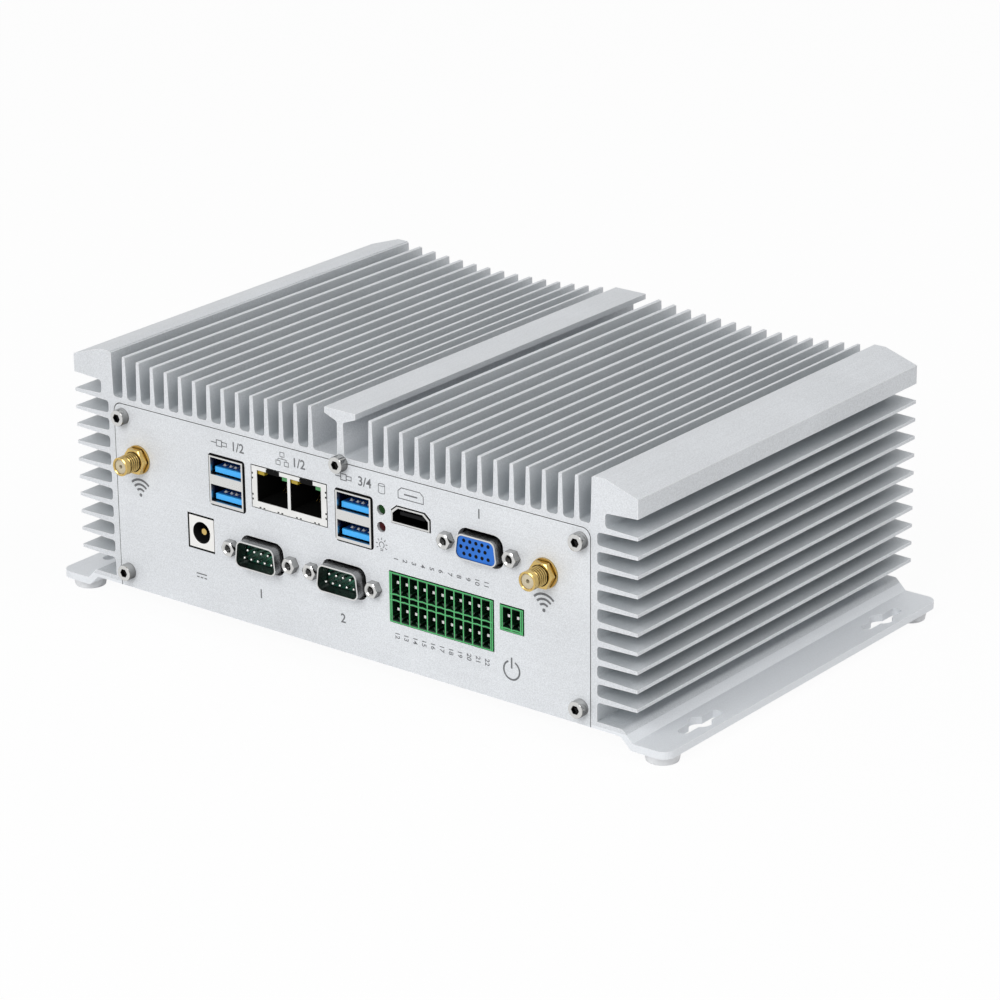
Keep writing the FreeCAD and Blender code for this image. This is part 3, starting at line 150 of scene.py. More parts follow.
def build(name, patches, material, replaces=(), outward=None):
    """One piece from patches. Each is a grid of points, whether its columns close on themselves, and how many
    of its first rows lie in a bore or a socket, which the metals paint dark as shade. The patches enclose
    solids, or are open sheets that face a given direction."""
    crease = math.radians(30.0)
    same_point = 1e-7
    points, quads, recess, start = [], [], [], 0
    for patch, wrapped, *inner in patches:
        rows, columns = patch.shape[:2]
        points.append(patch.reshape(-1, 3))
        quads.append(grid(rows, columns, wrapped) + start)
        recess.append(np.repeat(np.arange(rows) < sum(inner), columns))
        start += rows * columns
    points, quads = np.concatenate(points), np.concatenate(quads)
    if outward is not None:
        quads = turned_out(points, quads, outward)
    mesh = bpy.data.meshes.new(name)
    mesh.from_pydata(points.tolist(), [], quads.tolist())
    mark = mesh.attributes.new("recess", "FLOAT", "POINT")
    mark.data.foreach_set("value", np.concatenate(recess).astype(np.float32))
    if outward is None:
        solid = bmesh.new()
        solid.from_mesh(mesh)
        bmesh.ops.remove_doubles(solid, verts=solid.verts, dist=same_point)
        bmesh.ops.dissolve_degenerate(solid, edges=solid.edges, dist=same_point / 10)
        bmesh.ops.recalc_face_normals(solid, faces=solid.faces)
        solid.to_mesh(mesh)
        solid.free()
    mesh.polygons.foreach_set("use_smooth", [True] * len(mesh.polygons))
    mesh.set_sharp_from_angle(angle=crease)
    hang(bpy.data.objects.new(name, mesh), material, replaces)


def hang(piece, material, replaces=()):
    """Links a finished piece to the scene and to the computer's one body."""
    bpy.context.scene.collection.objects.link(piece)
    piece.data.materials.clear()
    piece.data.materials.append(material)
    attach(piece, "root")
    if replaces:
        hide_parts(*replaces)


def dark_sheets(name, patches, outward=FRONT):
    """Dark open sheets of painted shade for the mouths, notches, gaps and seams of the panels."""
    # Painted shade: these sheets take the near-black of the jack's insert.
    build(name, patches, bpy.data.materials["bay_plastic_and_painted_shade"], outward=outward)


def laid(bands, depth):
    """Patches from flat grids of (x, z) points, at a depth behind the panel's face."""
    return [(place(rows[..., 0], depth, rows[..., 1]), False) for rows in bands]


def hexagon(flats, turn):
    """Radius of a hexagon of a given width across flats at each angle: half the width over the cosine of the
    angle to the nearest flat's middle."""
    share = np.mod(turn, TURN / 6) - TURN / 12
    return flats / 2 / np.cos(share)


def cut_hexagon(flats, reach):
    """Radius, as a function of the angle, of a hexagon whose corners are cut off at a reach."""
    return lambda turn: np.minimum(hexagon(flats, turn), reach)


def turned(x, z, profile, sides=48, outward=-1.0, face=0.0):
    """Surface swept round an axis square to the panel. Each profile entry is (radius, depth), where the
    radius is a length or a function of the angle. A point is the axis plus the radius times (cos, sin) of the
    angle, moved back by the depth from a face that looks outward along y."""
    turn = np.linspace(0, TURN, sides, endpoint=False)
    rings = []
    for radius, depth in profile:
        reach = radius(turn) if callable(radius) else np.full(sides, float(radius))
        rings.append(place(x + reach * np.cos(turn), face - outward * depth, z + reach * np.sin(turn)))
    return np.stack(rings), True


def dome(radius, rise, tip, steps):
    """Profile of a domed front, a quarter ellipse: the radius times the sine of an angle, and the tip's depth
    plus the rise times one less the cosine."""
    return [(radius * math.sin(turn), tip + rise * (1 - math.cos(turn)))
            for turn in np.linspace(0, math.pi / 2, steps)]


# Materials

def arithmetic(operation, reflected=False):
    """A method that adds a Math node for an operation on the term and another number."""
    def method(self, other=0.0):
        first, second = (other, self) if reflected else (self, other)
        return self.nodes.add("ShaderNodeMath", {"operation": operation}, {0: first, 1: second})
    return method


class Term:
    """A number, vector, colour or shader from a node. Arithmetic on numbers adds the nodes for it."""

    def __init__(self, nodes, socket):
        self.nodes = nodes
        self.socket = socket

    __add__ = arithmetic("ADD")
    __radd__ = arithmetic("ADD", reflected=True)
    __sub__ = arithmetic("SUBTRACT")
    __rsub__ = arithmetic("SUBTRACT", reflected=True)
    __mul__ = arithmetic("MULTIPLY")
    __rmul__ = arithmetic("MULTIPLY", reflected=True)
    __pow__ = arithmetic("POWER")
    __gt__ = arithmetic("GREATER_THAN")
    __lt__ = arithmetic("LESS_THAN")
    root = arithmetic("SQRT")
    size = arithmetic("ABSOLUTE")
    sine = arithmetic("SINE")
    least = arithmetic("MINIMUM")
    most = arithmetic("MAXIMUM")
    folded = arithmetic("PINGPONG")

    def apart(self, pitch):
        """Distance from the nearest multiple of a pitch."""
        return self.folded(pitch / 2)


class Nodes:
    """A tree of shader nodes."""

    def __init__(self, tree):
        self.tree = tree

    def add(self, kind, settings=None, values=None, output=0):
        """A node of a type, with its settings made first and then its sockets given values or links."""
        node = self.tree.nodes.new(kind)
        for key, value in (settings or {}).items():
            setattr(node, key, value)
        for key, value in (values or {}).items():
            self.join(value, node.inputs[key])
        return Term(self, node.outputs[output])

    def join(self, value, socket):
        """Links a term to a socket, or gives the socket a constant."""
        if isinstance(value, Term):
            self.tree.links.new(value.socket, socket)
        else:
            socket.default_value = value

    def seen(self):
        """1 for rays from the camera, mirrors and clear pieces, and 0 for the light that falls on things."""
        rays = self.add("ShaderNodeLightPath").socket.node.outputs
        camera, mirror, clear = (
            Term(self, rays[f"Is {kind} Ray"]) for kind in ("Camera", "Glossy", "Transmission"))
        return camera.most(mirror).most(clear)

    def send_mix(self, factor, first, second):
        """Sends a mix of two shaders to the tree's output."""
        mixed = self.add("ShaderNodeMixShader", values={0: factor, 1: first, 2: second})
        end = next(node for node in self.tree.nodes if "Output" in node.name)
        self.join(mixed, end.inputs["Surface"])


class Paint(Nodes):
    """A material and the nodes that it is made of."""

    def __init__(self, name, **constants):
        self.material = bpy.data.materials.new(name)
        self.material.use_nodes = True
        super().__init__(self.material.node_tree)
        self.shader = self.tree.nodes["Principled BSDF"]
        self.feed(**constants)

    def feed(self, **values):
        """Gives the shader's sockets values or links, by their names with underscores for spaces."""
        for name, value in values.items():
            self.join(value, self.shader.inputs[name.replace("_", " ")])

    def spot(self):
        """The point in the object's own coordinates."""
        return self.add("ShaderNodeTexCoord", output="Object")

    def parts(self, vector):
        """The x, y and z of a vector."""
        node = self.add("ShaderNodeSeparateXYZ", values={0: vector}).socket.node
        return [Term(self, part) for part in node.outputs]

    def axes(self):
        """The point's x, depth and z in the panel's millimetres."""
        x, y, z = self.parts(self.spot())
        return x * (1 / MM), (y - FACE) * (1 / MM), (z - EDGE) * (1 / MM)

    def normal(self):
        """The surface's own normal."""
        return self.add("ShaderNodeNewGeometry", output="Normal")

    def noise(self, size, stretch=(1, 1, 1), rough=0.5):
        """Noise with cells of about a size in millimetres, stretched by a factor on each axis."""
        scaled = self.add("ShaderNodeMapping", values={
            "Vector": self.spot(), "Scale": [1 / (size * MM * factor) for factor in stretch]})
        return self.add("ShaderNodeTexNoise", values={
            "Vector": scaled, "Scale": 1.0, "Detail": 2.0, "Roughness": rough})

    def ramp(self, factor, low, high, start=0.0, end=1.0):
        """A number from start to end as the factor goes from low to high."""
        return self.add("ShaderNodeMapRange", {"clamp": True}, {
            "Value": factor, "From Min": low, "From Max": high, "To Min": start, "To Max": end})

    def spread(self, noise, start=0.0, end=1.0):
        """The usual range of a noise, 0.3 to 0.7, spread from start to end."""
        return self.ramp(noise, 0.3, 0.7, start, end)

    def blend(self, factor, first, second):
        """The first colour where the factor is 0 and the second where it is 1."""
        return self.add("ShaderNodeMix", {"data_type": "RGBA"}, {0: factor, 6: first, 7: second}, output=2)

    def edges(self, width):
        """1 along edges and 0 elsewhere: how far a normal rounded over a width in millimetres leans from the
        surface's own."""
        rounded = self.add("ShaderNodeBevel", {"samples": 4}, {"Radius": width * MM})
        lean = self.add("ShaderNodeVectorMath", {"operation": "DOT_PRODUCT"}, {0: rounded, 1: self.normal()},
                        output="Value")
        return self.ramp(lean, 0.86, 0.99, 1.0, 0.0)

    def openness(self, reach):
        """1 on open surfaces, falling in grooves and corners narrower than a reach in millimetres."""
        return self.add("ShaderNodeAmbientOcclusion", {"samples": 4}, {"Distance": reach * MM}, output="AO")

    def colour(self, mask, first, second):
        """Gives the shader a first colour where the mask is 0 and a second where it is 1."""
        self.feed(Base_Color=self.blend(mask, first, second))

    def tint(self, mask, colour):
        """Blends a colour over the base colour that the shader already has."""
        base = Term(self, self.shader.inputs["Base Color"].links[0].from_socket)
        self.colour(mask, base, colour)

    def bump(self, height, depth, strength):
        """Raises the surface by a height from 0 to 1, times a depth in millimetres."""
        values = {"Strength": strength, "Distance": depth * MM, "Height": height}
        self.feed(Normal=self.add("ShaderNodeBump", values=values))


def shade(colour, factor):
    """A colour with its three channels multiplied."""
    return (*(channel * factor for channel in colour[:3]), 1.0)


def anodised(name, colour, along):
    """Sand-blasted, clear anodised aluminium: a fine sparkle, faint die lines along one axis, slow changes of
    shade, and edges painted pale as a highlight."""
    roughness, painted_edge_highlight = 0.55, (0.96, 0.97, 0.98, 1.0)
    cloud_share, line_share, edge_width, edge_highlight_share = 0.25, 0.12, 0.28, 0.9
    paint = Paint(name, Metallic=0.2, Specular_IOR_Level=0.3)
    grain = paint.noise(0.34, rough=0.65)
    cloud = paint.noise(28.0)
    lines = paint.noise(0.9, along)
    tone = paint.ramp(grain + (cloud - 0.5) * cloud_share + (lines - 0.5) * line_share, 0.30, 0.72)
    skin = paint.blend(tone, shade(colour, 0.84), shade(colour, 1.14))
    # Painted highlight: edges found by the rounded normal are painted near-white.
    paint.colour(paint.edges(edge_width) * edge_highlight_share, skin, painted_edge_highlight)
    paint.feed(Roughness=paint.spread(grain, roughness - 0.05, roughness + 0.07))
    paint.bump(grain * 0.8 + lines * 0.2, 0.02, 0.35)
    return paint


def finned_aluminium(colour, ground, flange_top):
    """Anodised extrusion with painted shade and painted light: painted darker as shade deep between the fins,
    and painted a little paler as light on the flanges, which lie below a height in millimetres."""
    fin_reach, groove_shade_share, flange_light_share = 9.0, 0.52, 0.6
    paint = anodised("extruded_aluminium", colour, (1, 40, 1))
    height = paint.axes()[2]
    # Painted shade: darker where ambient occlusion finds the fins close round, above the flanges.
    deep = paint.ramp(paint.openness(fin_reach), 0.25, 0.85, 1.0, 0.0) * (height > flange_top)
    paint.tint(deep * groove_shade_share, ground)
    # Painted light: the flanges are painted paler, as if better lit.
    paint.tint((height < flange_top) * flange_light_share, shade(colour, 1.24))
    return paint.material


def plated(name, colour, roughness, deep=None, fade=1.2, rim=None, dark=None):
    """Plated metal with fine tool marks, painted dark as shade in its bores and darker as shade in its
    corners.
    Given depths behind the panel's face, it has a painted highlight on the edge in front of the rim, and
    fades to painted dark shade past the deep one."""
    # The rim's pale colour below is a painted highlight; the corner and dark colours are painted shade.
    dark = dark or shade(colour, 0.03)
    rim_highlight, corner, corner_reach = (0.70, 0.70, 0.69, 1.0), shade(colour, 0.18), 0.7
    paint = Paint(name, Metallic=1.0)
    marks = paint.noise(0.25, (1, 6, 1))
    tone = paint.blend(paint.spread(paint.noise(5.0)), shade(colour, 0.92), colour)
    depth = paint.axes()[1]
    # Painted highlight on the edge in front of the rim.
    if rim is not None:
        tone = paint.blend(paint.ramp(depth, rim, rim + 0.1), rim_highlight, tone)
    # Painted shade: the metal fades to dark past the deep depth.
    if deep is not None:
        tone = paint.blend(paint.ramp(depth, deep, deep + fade), tone, dark)
    # Painted shade: dark in bores from the recess attribute, darker in corners from ambient occlusion.
    inside = paint.add("ShaderNodeAttribute", {"attribute_name": "recess"}, output="Fac")
    tone = paint.blend(paint.ramp(paint.openness(corner_reach), 0.35, 0.9), corner, tone)
    paint.colour(inside, tone, dark)
    paint.feed(Roughness=paint.ramp(marks, 0.25, 0.75, roughness, roughness + 0.06))
    paint.bump(marks, 0.004, 0.15)
    return paint


def polished_nickel(colour):
    """Nickel plating with painted light: bright on the faces along the depth and painted darker as shade
    round the sides, most of all below.
    """
    paint = plated("nickel_plating", colour, 0.15)
    _, along, up = paint.parts(paint.normal())
    # Painted shade: sides and lower faces are darkened by their normal.
    side = paint.ramp(along.size(), 0.25, 0.9, 1.0, 0.0) * paint.ramp(up, -0.5, 0.9, 1.0, 0.4)
    paint.tint(side, shade(colour, 0.22))
    return paint.material


def threaded_gold(colour):
    """Gold plating with painted shade in the threads of the two antenna barrels: darker behind their collars,
    where a point's distance from the nearer barrel's axis is less than the crests' radius."""
    root, crest, collar = 2.85, 3.1, 2.0
    paint = plated("gold_plating", colour, 0.16)
    x, depth, z = paint.axes()
    left, _, level = middle("antenna_socket_1")
    right = middle("antenna_socket_2")[0]
    across = (x - left).size().least((x - right).size())
    reach = (across ** 2.0 + (z - level) ** 2.0).root()
    behind = depth > start_of("antenna_socket_1") + collar
    # Painted shade in the thread roots.
    paint.tint(paint.ramp(reach, root, crest, 1.0, 0.0) * behind, shade(colour, 0.16))
    return paint.material


def moulded(name, colour, roughness, grain=0.25, shine=0.5):
    """Moulded plastic with a fine skin and slight shade changes."""
    paint = Paint(name, Specular_IOR_Level=shine)
    skin = paint.noise(grain)
    paint.colour(paint.spread(paint.noise(6.0)), shade(colour, 0.9), shade(colour, 1.08))
    paint.feed(Roughness=paint.spread(skin, roughness - 0.05, roughness + 0.08))
    paint.bump(skin, 0.01, 0.25)
    return paint


def tongue_plastic(front, deep, shell):
    """Blue plastic of the data ports in a lit and a shaded copy: painted bright on the tongue's front edge,
    and painted dark as shade where it runs back.
    """
    paint = moulded("tongue_plastic", front, 0.35)
    start = start_of(shell)
    # Painted shade: the blue turns to the dark colour a little behind the front edge.
    fade = paint.ramp(paint.axes()[1], start + 0.3, start + 1.1)
    paint.colour(fade, front, deep)
    return paint.material


def block_plastic(name, node, ways, ledges, bright, dark):
    """Terminal block in a lit and a shaded copy of its green: painted bright on the thin lines of its front
    face, which are its outer edge, the walls between its ways and its ledges, which wave a little, and
    painted dark as shade everywhere else. A line is where the distance from its middle is under half its
    width."""
    rim, pen, wave, front = 0.36, 0.2, 0.12, 0.3
    paint = moulded(name, bright, 0.38)
    x, depth, z = paint.axes()
    left, right, bottom, top = borders(node)
    edge = (x - left).least(right - x).least((z - bottom).least(top - z))
    wall = (x - (middle(node)[0] + ways % 2 * WAY_PITCH / 2)).apart(WAY_PITCH)
    line = (edge < rim).most(wall < pen)
    for ledge in ledges:
        line = line.most((z - ledge - wall * wave).size() < pen)
    start = start_of(node)
    # Painted light and shade: only the lines at the front face stay bright, and all behind is painted dark.
    line = line * paint.ramp(depth, start + 0.05, start + front, 1.0, 0.0)
    paint.colour(line, dark, bright)
    return paint.material


def serial_plastic(name, node, dark, streak):
    """Dark green insulator with paler slanted streaks towards its right side."""
    paint = moulded(name, dark, 0.3)
    x, _, z = paint.axes()
    tilt, density = 0.8, 3.4
    centre, _, level = middle(node)
    bands = (((x - centre) * tilt - (z - level)) * density).sine()
    side = paint.ramp(x, centre - 1.5, centre + 6.0)
    upper = paint.ramp(z, level - 3.6, level - 0.5)
    paint.colour(paint.ramp(bands, 0.1, 0.9) * side * upper, dark, streak)
    return paint.material


def inlet_plastic(white, black):
    """Off-white inlet body, black inside the radius of its round bore."""
    bore = 3.64
    paint = moulded("inlet_plastic", white, 0.4)
    x, _, z = paint.axes()
    centre, _, level = middle("power_inlet_pin")
    reach = ((x - centre) ** 2.0 + (z - level) ** 2.0).root()
    paint.colour(reach < bore, white, black)
    return paint.material


def jack_lights(amber, green):
    """The four lights of the network jack: amber at the left of each bay and green at its right."""
    left_bay_green, right_bay_green = -4.3, 9.0
    paint = moulded("jack_lights", amber, 0.3)
    across = paint.axes()[0] - middle("network_jack_shield")[0]
    right = (across > left_bay_green) * (across < 0.0) + (across > right_bay_green)
    paint.colour(right, amber, green)
    return paint.material


def circuit_board(name, mask, copper):
    """Green solder mask over a faint net of copper tracks."""
    cells_per_metre, track_share = 260.0, 0.09
    paint = Paint(name)
    cells = paint.add("ShaderNodeTexVoronoi", {"distance": "MANHATTAN"}, {
        "Vector": paint.spot(), "Scale": cells_per_metre})
    tracks = cells < track_share
    paint.colour(tracks, mask, copper)
    paint.feed(Roughness=paint.spread(paint.noise(3.0), 0.3, 0.42))
    paint.bump(tracks, 0.02, 0.5)
    return paint.material


def ink(name, colour):
    """Screen-printed ink, slightly uneven and matt."""
    paint = Paint(name)
    grain = paint.noise(0.3)
    paint.colour(paint.spread(grain), shade(colour, 0.85), shade(colour, 1.12))
    paint.feed(Roughness=paint.spread(grain, 0.55, 0.7))
    return paint.material


# Settings

class ComputerLooks(bpy.types.PropertyGroup):
    """Colours and sizes that someone may want to change."""

    metal: FloatVectorProperty(
        name="Metal", description="Colour of the anodised aluminium", subtype="COLOR", size=4, min=0, max=1,
        default=(0.69, 0.71, 0.735, 1.0))
    legend: FloatVectorProperty(
        name="Marks", description="Colour of the printed marks", subtype="COLOR", size=4, min=0, max=1,
        default=srgb(106, 108, 111))
    gold: FloatVectorProperty(
        name="Gold", description="Colour of the gold plating", subtype="COLOR", size=4, min=0, max=1,
        default=(0.66, 0.47, 0.17, 1.0))
    mark_lift: FloatProperty(
        name="Mark thickness", description="How far the ink stands above the panel, in millimetres",
        default=0.02, min=0.005, max=0.1)
    digit_height: FloatProperty(
        name="Digit height", description="Height of the numbers by the large sockets, in millimetres",
        default=3.0, min=1.0, max=6.0)
    pin_digit_height: FloatProperty(
        name="Pin digit height", description="Height of the numbers by the terminal ways, in millimetres",
        default=1.7, min=0.8, max=3.0)
    thread_pitch: FloatProperty(
        name="Thread pitch", description="Pitch of the antenna sockets' thread, in millimetres",
        default=0.9, min=0.3, max=1.5)
    thread_depth: FloatProperty(
        name="Thread depth", description="Depth of the antenna sockets' thread, in millimetres",
        default=0.38, min=0.05, max=0.6)
    key_power: FloatProperty(
        name="Key lamp", description="Power of the large lamp above the front, in watts",
        default=27.0, min=0.0, max=200.0)
    side_power: FloatProperty(
        name="Side lamp", description="Power of the small lamp above the right side, in watts",
        default=8.0, min=0.0, max=200.0)
    ambient: FloatProperty(
        name="Ambient", description="Strength of the light from all round", default=0.40, min=0.0, max=2.0)
    floor_white: FloatProperty(
        name="Floor white", description="Share of plain white in the floor where it is seen",
        subtype="FACTOR", default=0.95, min=0.0, max=1.0)


# Plain finishes

def metal_finishes(looks):
    """The anodised and plated metals, each with the CAD nodes that have it."""
    metal = tuple(looks.metal)
    # Colour of the painted shade between the fins.
    fin_groove_shade = (0.38, 0.42, 0.44, 1.0)
    # The terminal pins are painted dark as shade from just behind their tips.
    pin_tips = start_of("terminal_pins") + 0.05
    return {
        finned_aluminium(metal, fin_groove_shade, 1.0): ["housing", "heat_block"],
        anodised("sheet_aluminium", shade(metal, 1.03), (40, 1, 1)).material: [
            "front_panel", "rear_panel", "bottom_plate"],
        # The jack's shield is painted dark as shade past 1.2 mm behind the face.
        plated("jack_plating", (0.88, 0.88, 0.87, 1.0), 0.4, deep=1.2).material: ["network_jack_shield"],
        plated("terminal_metal", (0.82, 0.82, 0.80, 1.0), 0.3, deep=pin_tips, fade=0.2).material: [
            "terminal_pins"],
        polished_nickel((0.66, 0.66, 0.65, 1.0)): [
            "plate_screws", "pillar_nuts", "board_screws", "heat_block_screws", "clock_battery", "processor",
            "front_screws", "rear_screws", "jackscrews"],
        threaded_gold(tuple(looks.gold)): [
            "power_inlet_pin", "antenna_socket_1", "antenna_socket_2", "antenna_nuts", "antenna_washers"],
        plated("turned_brass", (0.72, 0.55, 0.24, 1.0), 0.28).material: [
            "board_spacers", "board_pillars", "card_screws"],
    }


def shell_finishes():
    """The plating of each keyed shell, with a painted highlight on its rim and painted shade inside, dark or
    navy.
    """
    navy_shade = (0.003, 0.02, 0.10, 1.0)
    finishes = {}
    for nodes, tone, inside in (
            (("data_port_1_shell", "data_port_2_shell"), 0.45, navy_shade),
            (("video_socket_shell",), 0.2, None),
            (("analog_video_shell", "serial_port_1_shell", "serial_port_2_shell"), 0.26, None)):
        for node in nodes:
            # Painted highlight in front of the rim, and painted shade past a fifth of a millimetre.
            tin = plated(f"{node}_plating", (tone, tone, tone, 1.0), 0.26, deep=0.2,
                         rim=start_of(node) + 0.08, dark=inside)
            finishes[tin.material] = [node]
    return finishes


def plain_plastics():
    """The plastics and rubbers of one colour, each with the CAD nodes that have it."""
    rows = (
        ("black_plastic", (0.018, 0.018, 0.02, 1.0), 0.4, 0.25, 0.5, [
            "memory_socket", "card_sockets", "battery_holder", "link_socket", "link_plug", "light_holder",
            "antenna_lead_1", "antenna_lead_2"]),
        # Black of the jack's insert, also used for the dark sheets of painted shade.
        ("bay_plastic_and_painted_shade", (0.003, 0.003, 0.003, 1.0), 0.6, 0.25, 0.08, ["network_jack_insert"]),
        ("dark_plastic", (0.005, 0.005, 0.006, 1.0), 0.5, 0.25, 0.12, ["video_socket_tongue"]),
        ("grey_rubber", srgb(226, 227, 229), 0.6, 0.5, 0.5, ["feet"]),
        ("thermal_silicone", srgb(120, 130, 160), 0.7, 0.25, 0.5, ["thermal_pad"]),
        ("video_insulator", srgb(14, 104, 200), 0.35, 0.25, 0.5, ["analog_video_insulator"]),
        ("socket_insulator", srgb(196, 186, 160), 0.4, 0.25, 0.5, ["antenna_insulators"]),
        ("green_dome", srgb(14, 56, 14), 0.12, 0.25, 0.12, ["status_light_green"]),
        ("red_dome", srgb(58, 6, 12), 0.12, 0.25, 0.12, ["status_light_red"]),
    )
    return {moulded(name, colour, roughness, grain, shine).material: nodes
            for name, colour, roughness, grain, shine, nodes in rows}


def socket_finishes():
    """The plastics with a pattern, and the boards, each with the CAD nodes that have it."""
    # The blocks' lit green, and the darker green of their painted shade.
    bright_green, painted_shade_green = srgb(74, 176, 104), (0.003, 0.022, 0.009, 1.0)
    finishes = {
        # The data ports' blue, bright as painted light in front and dark as painted shade behind.
        tongue_plastic(srgb(62, 176, 250), srgb(14, 66, 140), "data_port_1_tongues"): [
            "data_port_1_tongues", "data_port_2_tongues"],
        circuit_board("circuit_board", (0.012, 0.11, 0.05, 1.0), (0.03, 0.2, 0.09, 1.0)): [
            "main_board", "second_board", "memory_module", "storage_card", "radio_card"],
        jack_lights(srgb(170, 146, 34), srgb(70, 140, 84)): ["network_jack_lights"],
        inlet_plastic(srgb(234, 233, 230), (0.01, 0.01, 0.01, 1.0)): ["power_inlet"],
    }
    for size, ways, ledges in (("large", LARGE_BLOCK_WAYS, (22.55, 24.5)), ("small", 2, (24.0,))):
        node = f"terminal_block_{size}"
        plastic = block_plastic(f"{size}_block", node, ways, ledges, bright_green, painted_shade_green)
        finishes[plastic] = [node]
    for index in (1, 2):
        node = f"serial_port_{index}_insulator"
        plastic = serial_plastic(f"serial_insulator_{index}", node, srgb(8, 66, 50), srgb(34, 150, 108))
        finishes[plastic] = [node]
    return finishes


class COMPUTER_OT_finish_parts(bpy.types.Operator):
    """Gives every CAD part its finish"""

    bl_idname = "computer.finish_parts"
    bl_label = "Finish parts"

    def execute(self, context):
        looks = context.scene.computer_looks
        finishes = metal_finishes(looks) | shell_finishes() | plain_plastics() | socket_finishes()
        for material, nodes in finishes.items():
            for node in nodes:
                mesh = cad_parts[node].data
                mesh.materials.clear()
                mesh.materials.append(material)
        return {"FINISHED"}


# Small hardware

# Radius of the cap screws' heads, and how far the top pair sits below the middle screw.
CAP_RADIUS = 2.75
CAP_DROP = 4.0


def socket_head(x, z, outward, face):
    """Cap screw head: a chamfered round head with a hexagon socket that ends in a cone."""
    head = -start_of("front_screws")
    flats, socket_deep, cone_deep = 2.5, 1.5, 2.0
    lead_in, chamfer = 0.12, 0.4

    def socket(turn):
        return hexagon(flats, turn)

    def mouth(turn):
        return hexagon(flats, turn) + lead_in

    profile = [(0.0, cone_deep), (socket, socket_deep), (socket, lead_in), (mouth, 0.0),
               (CAP_RADIUS - chamfer, 0.0), (CAP_RADIUS - chamfer * 0.35, 0.1), (CAP_RADIUS, chamfer),
               (CAP_RADIUS, head), (0.0, head)]
    # The first three rows, the socket, are painted dark as shade by the plated metals.
    return *turned(x, z, profile, 48, outward, face + outward * head), 3


class COMPUTER_OT_cap_screws(bpy.types.Operator):
    """Adds the socket head screws that hold both panels"""

    bl_idname = "computer.cap_screws"
    bl_label = "Cap screws"

    def execute(self, context):
        steel = bpy.data.materials["nickel_plating"]
        left, right, lowest, highest = borders("front_screws")
        side = (right - left) / 2 - CAP_RADIUS
        bottom, centre = lowest + CAP_RADIUS, highest - CAP_RADIUS
        top = centre - CAP_DROP
        spots = [(-side, bottom), (side, bottom), (-side, top), (side, top), (0.0, centre)]
        for end, outward, face in (("front", -1.0, 0.0), ("rear", 1.0, end_of("rear_panel"))):
            build(f"{end}_cap_screws", [socket_head(x, z, outward, face) for x, z in spots],
                  steel, [f"{end}_screws"])
        return {"FINISHED"}


def jackscrew(x, z):
    """Hexagon post whose corners are cut by a cone at its front edge. Its bore has thread grooves between a
    core and a crest radius."""
    tall, flats, bore_deep = 2.8, 4.75, 3.0
    core, crest, pitch, grooves = 1.12, 1.3, 0.4, 6
    cone_start, cone_slope, cone_deep = 2.0, 1.9, 0.42
    outside = [(cut_hexagon(flats, cone_start + depth * cone_slope), depth)
               for depth in (*np.linspace(0.0, cone_deep, 8), tall)]
    threads = []
    for k in range(grooves):
        threads += [(core, 0.45 + pitch * k), (crest, 0.45 + pitch * (k + 0.5))]
    lead_in = [(1.25, 0.3), (1.62, 0.0)]
    profile = [(0.0, bore_deep), *threads[::-1], *lead_in, *outside, (0.0, tall)]
    # The bore's rows are painted dark as shade by the plated metals.
    return *turned(x, z, profile, 60, -1.0, -tall), 1 + len(threads)


class COMPUTER_OT_jackscrews(bpy.types.Operator):
    """Adds the six threaded posts beside the shielded ports"""

    bl_idname = "computer.jackscrews"
    bl_label = "Jackscrews"

    def execute(self, context):
        reach = 12.5
        ports = [middle(f"{name}_shell") for name in ("serial_port_1", "serial_port_2", "analog_video")]
        build("jackscrew_posts", [jackscrew(x + side * reach, z) for x, _, z in ports for side in (-1, 1)],
              bpy.data.materials["nickel_plating"], ["jackscrews"])
        return {"FINISHED"}


def antenna_barrel(x, z, reach, pitch, depth):
    """Threaded barrel: behind a plain collar the radius falls and rises in a triangle wave of the depth less
    the turn's share of a pitch, which makes a helix. Behind the panel it has a shoulder and a stem."""
    outer, collar, bore, bore_deep = 3.15, 3.1, 2.35, 3.2
    shoulder, stem = 4.2, 2.1

    def ridge(at):
        def radius(turn):
            phase = np.mod(at / pitch - turn / TURN, 1.0)
            return outer - depth * np.abs(2 * phase - 1)
        return radius

    front = [(0.0, bore_deep), (bore, bore_deep), (bore, 0.25), (2.6, 0.0), (2.85, 0.0), (collar, 0.22),
             (collar, 1.9), (2.8, 2.1)]
    threads = [(ridge(at), at) for at in np.arange(2.2, reach - 1.0, pitch / 6)]
    back = [(outer, reach - 0.9), (outer, reach + 2.5), (shoulder, reach + 2.5), (shoulder, reach + 4.5),
            (stem, reach + 4.5), (stem, reach + 7.4), (0.0, reach + 7.4)]
    return turned(x, z, front + threads + back, 40, -1.0, -reach)


def antenna_nut(x, z, base):
    """Hexagon nut whose corners are cut by a cone at both faces."""
    flats, tall, bore = 8.0, 2.2, 3.2
    cone_start, cone_slope = 3.9, 1.8
    steps = (0.0, 0.08, 0.16, 0.26, 0.4)
    outside = [(cut_hexagon(flats, cone_start + min(depth, tall - depth) * cone_slope), depth)
               for depth in (*steps, *(tall - step for step in steps[::-1]))]
    profile = [(bore, tall), (bore, 0.15), (3.4, 0.0), *outside, (bore, tall)]
    return turned(x, z, profile, 60, -1.0, -base - tall)


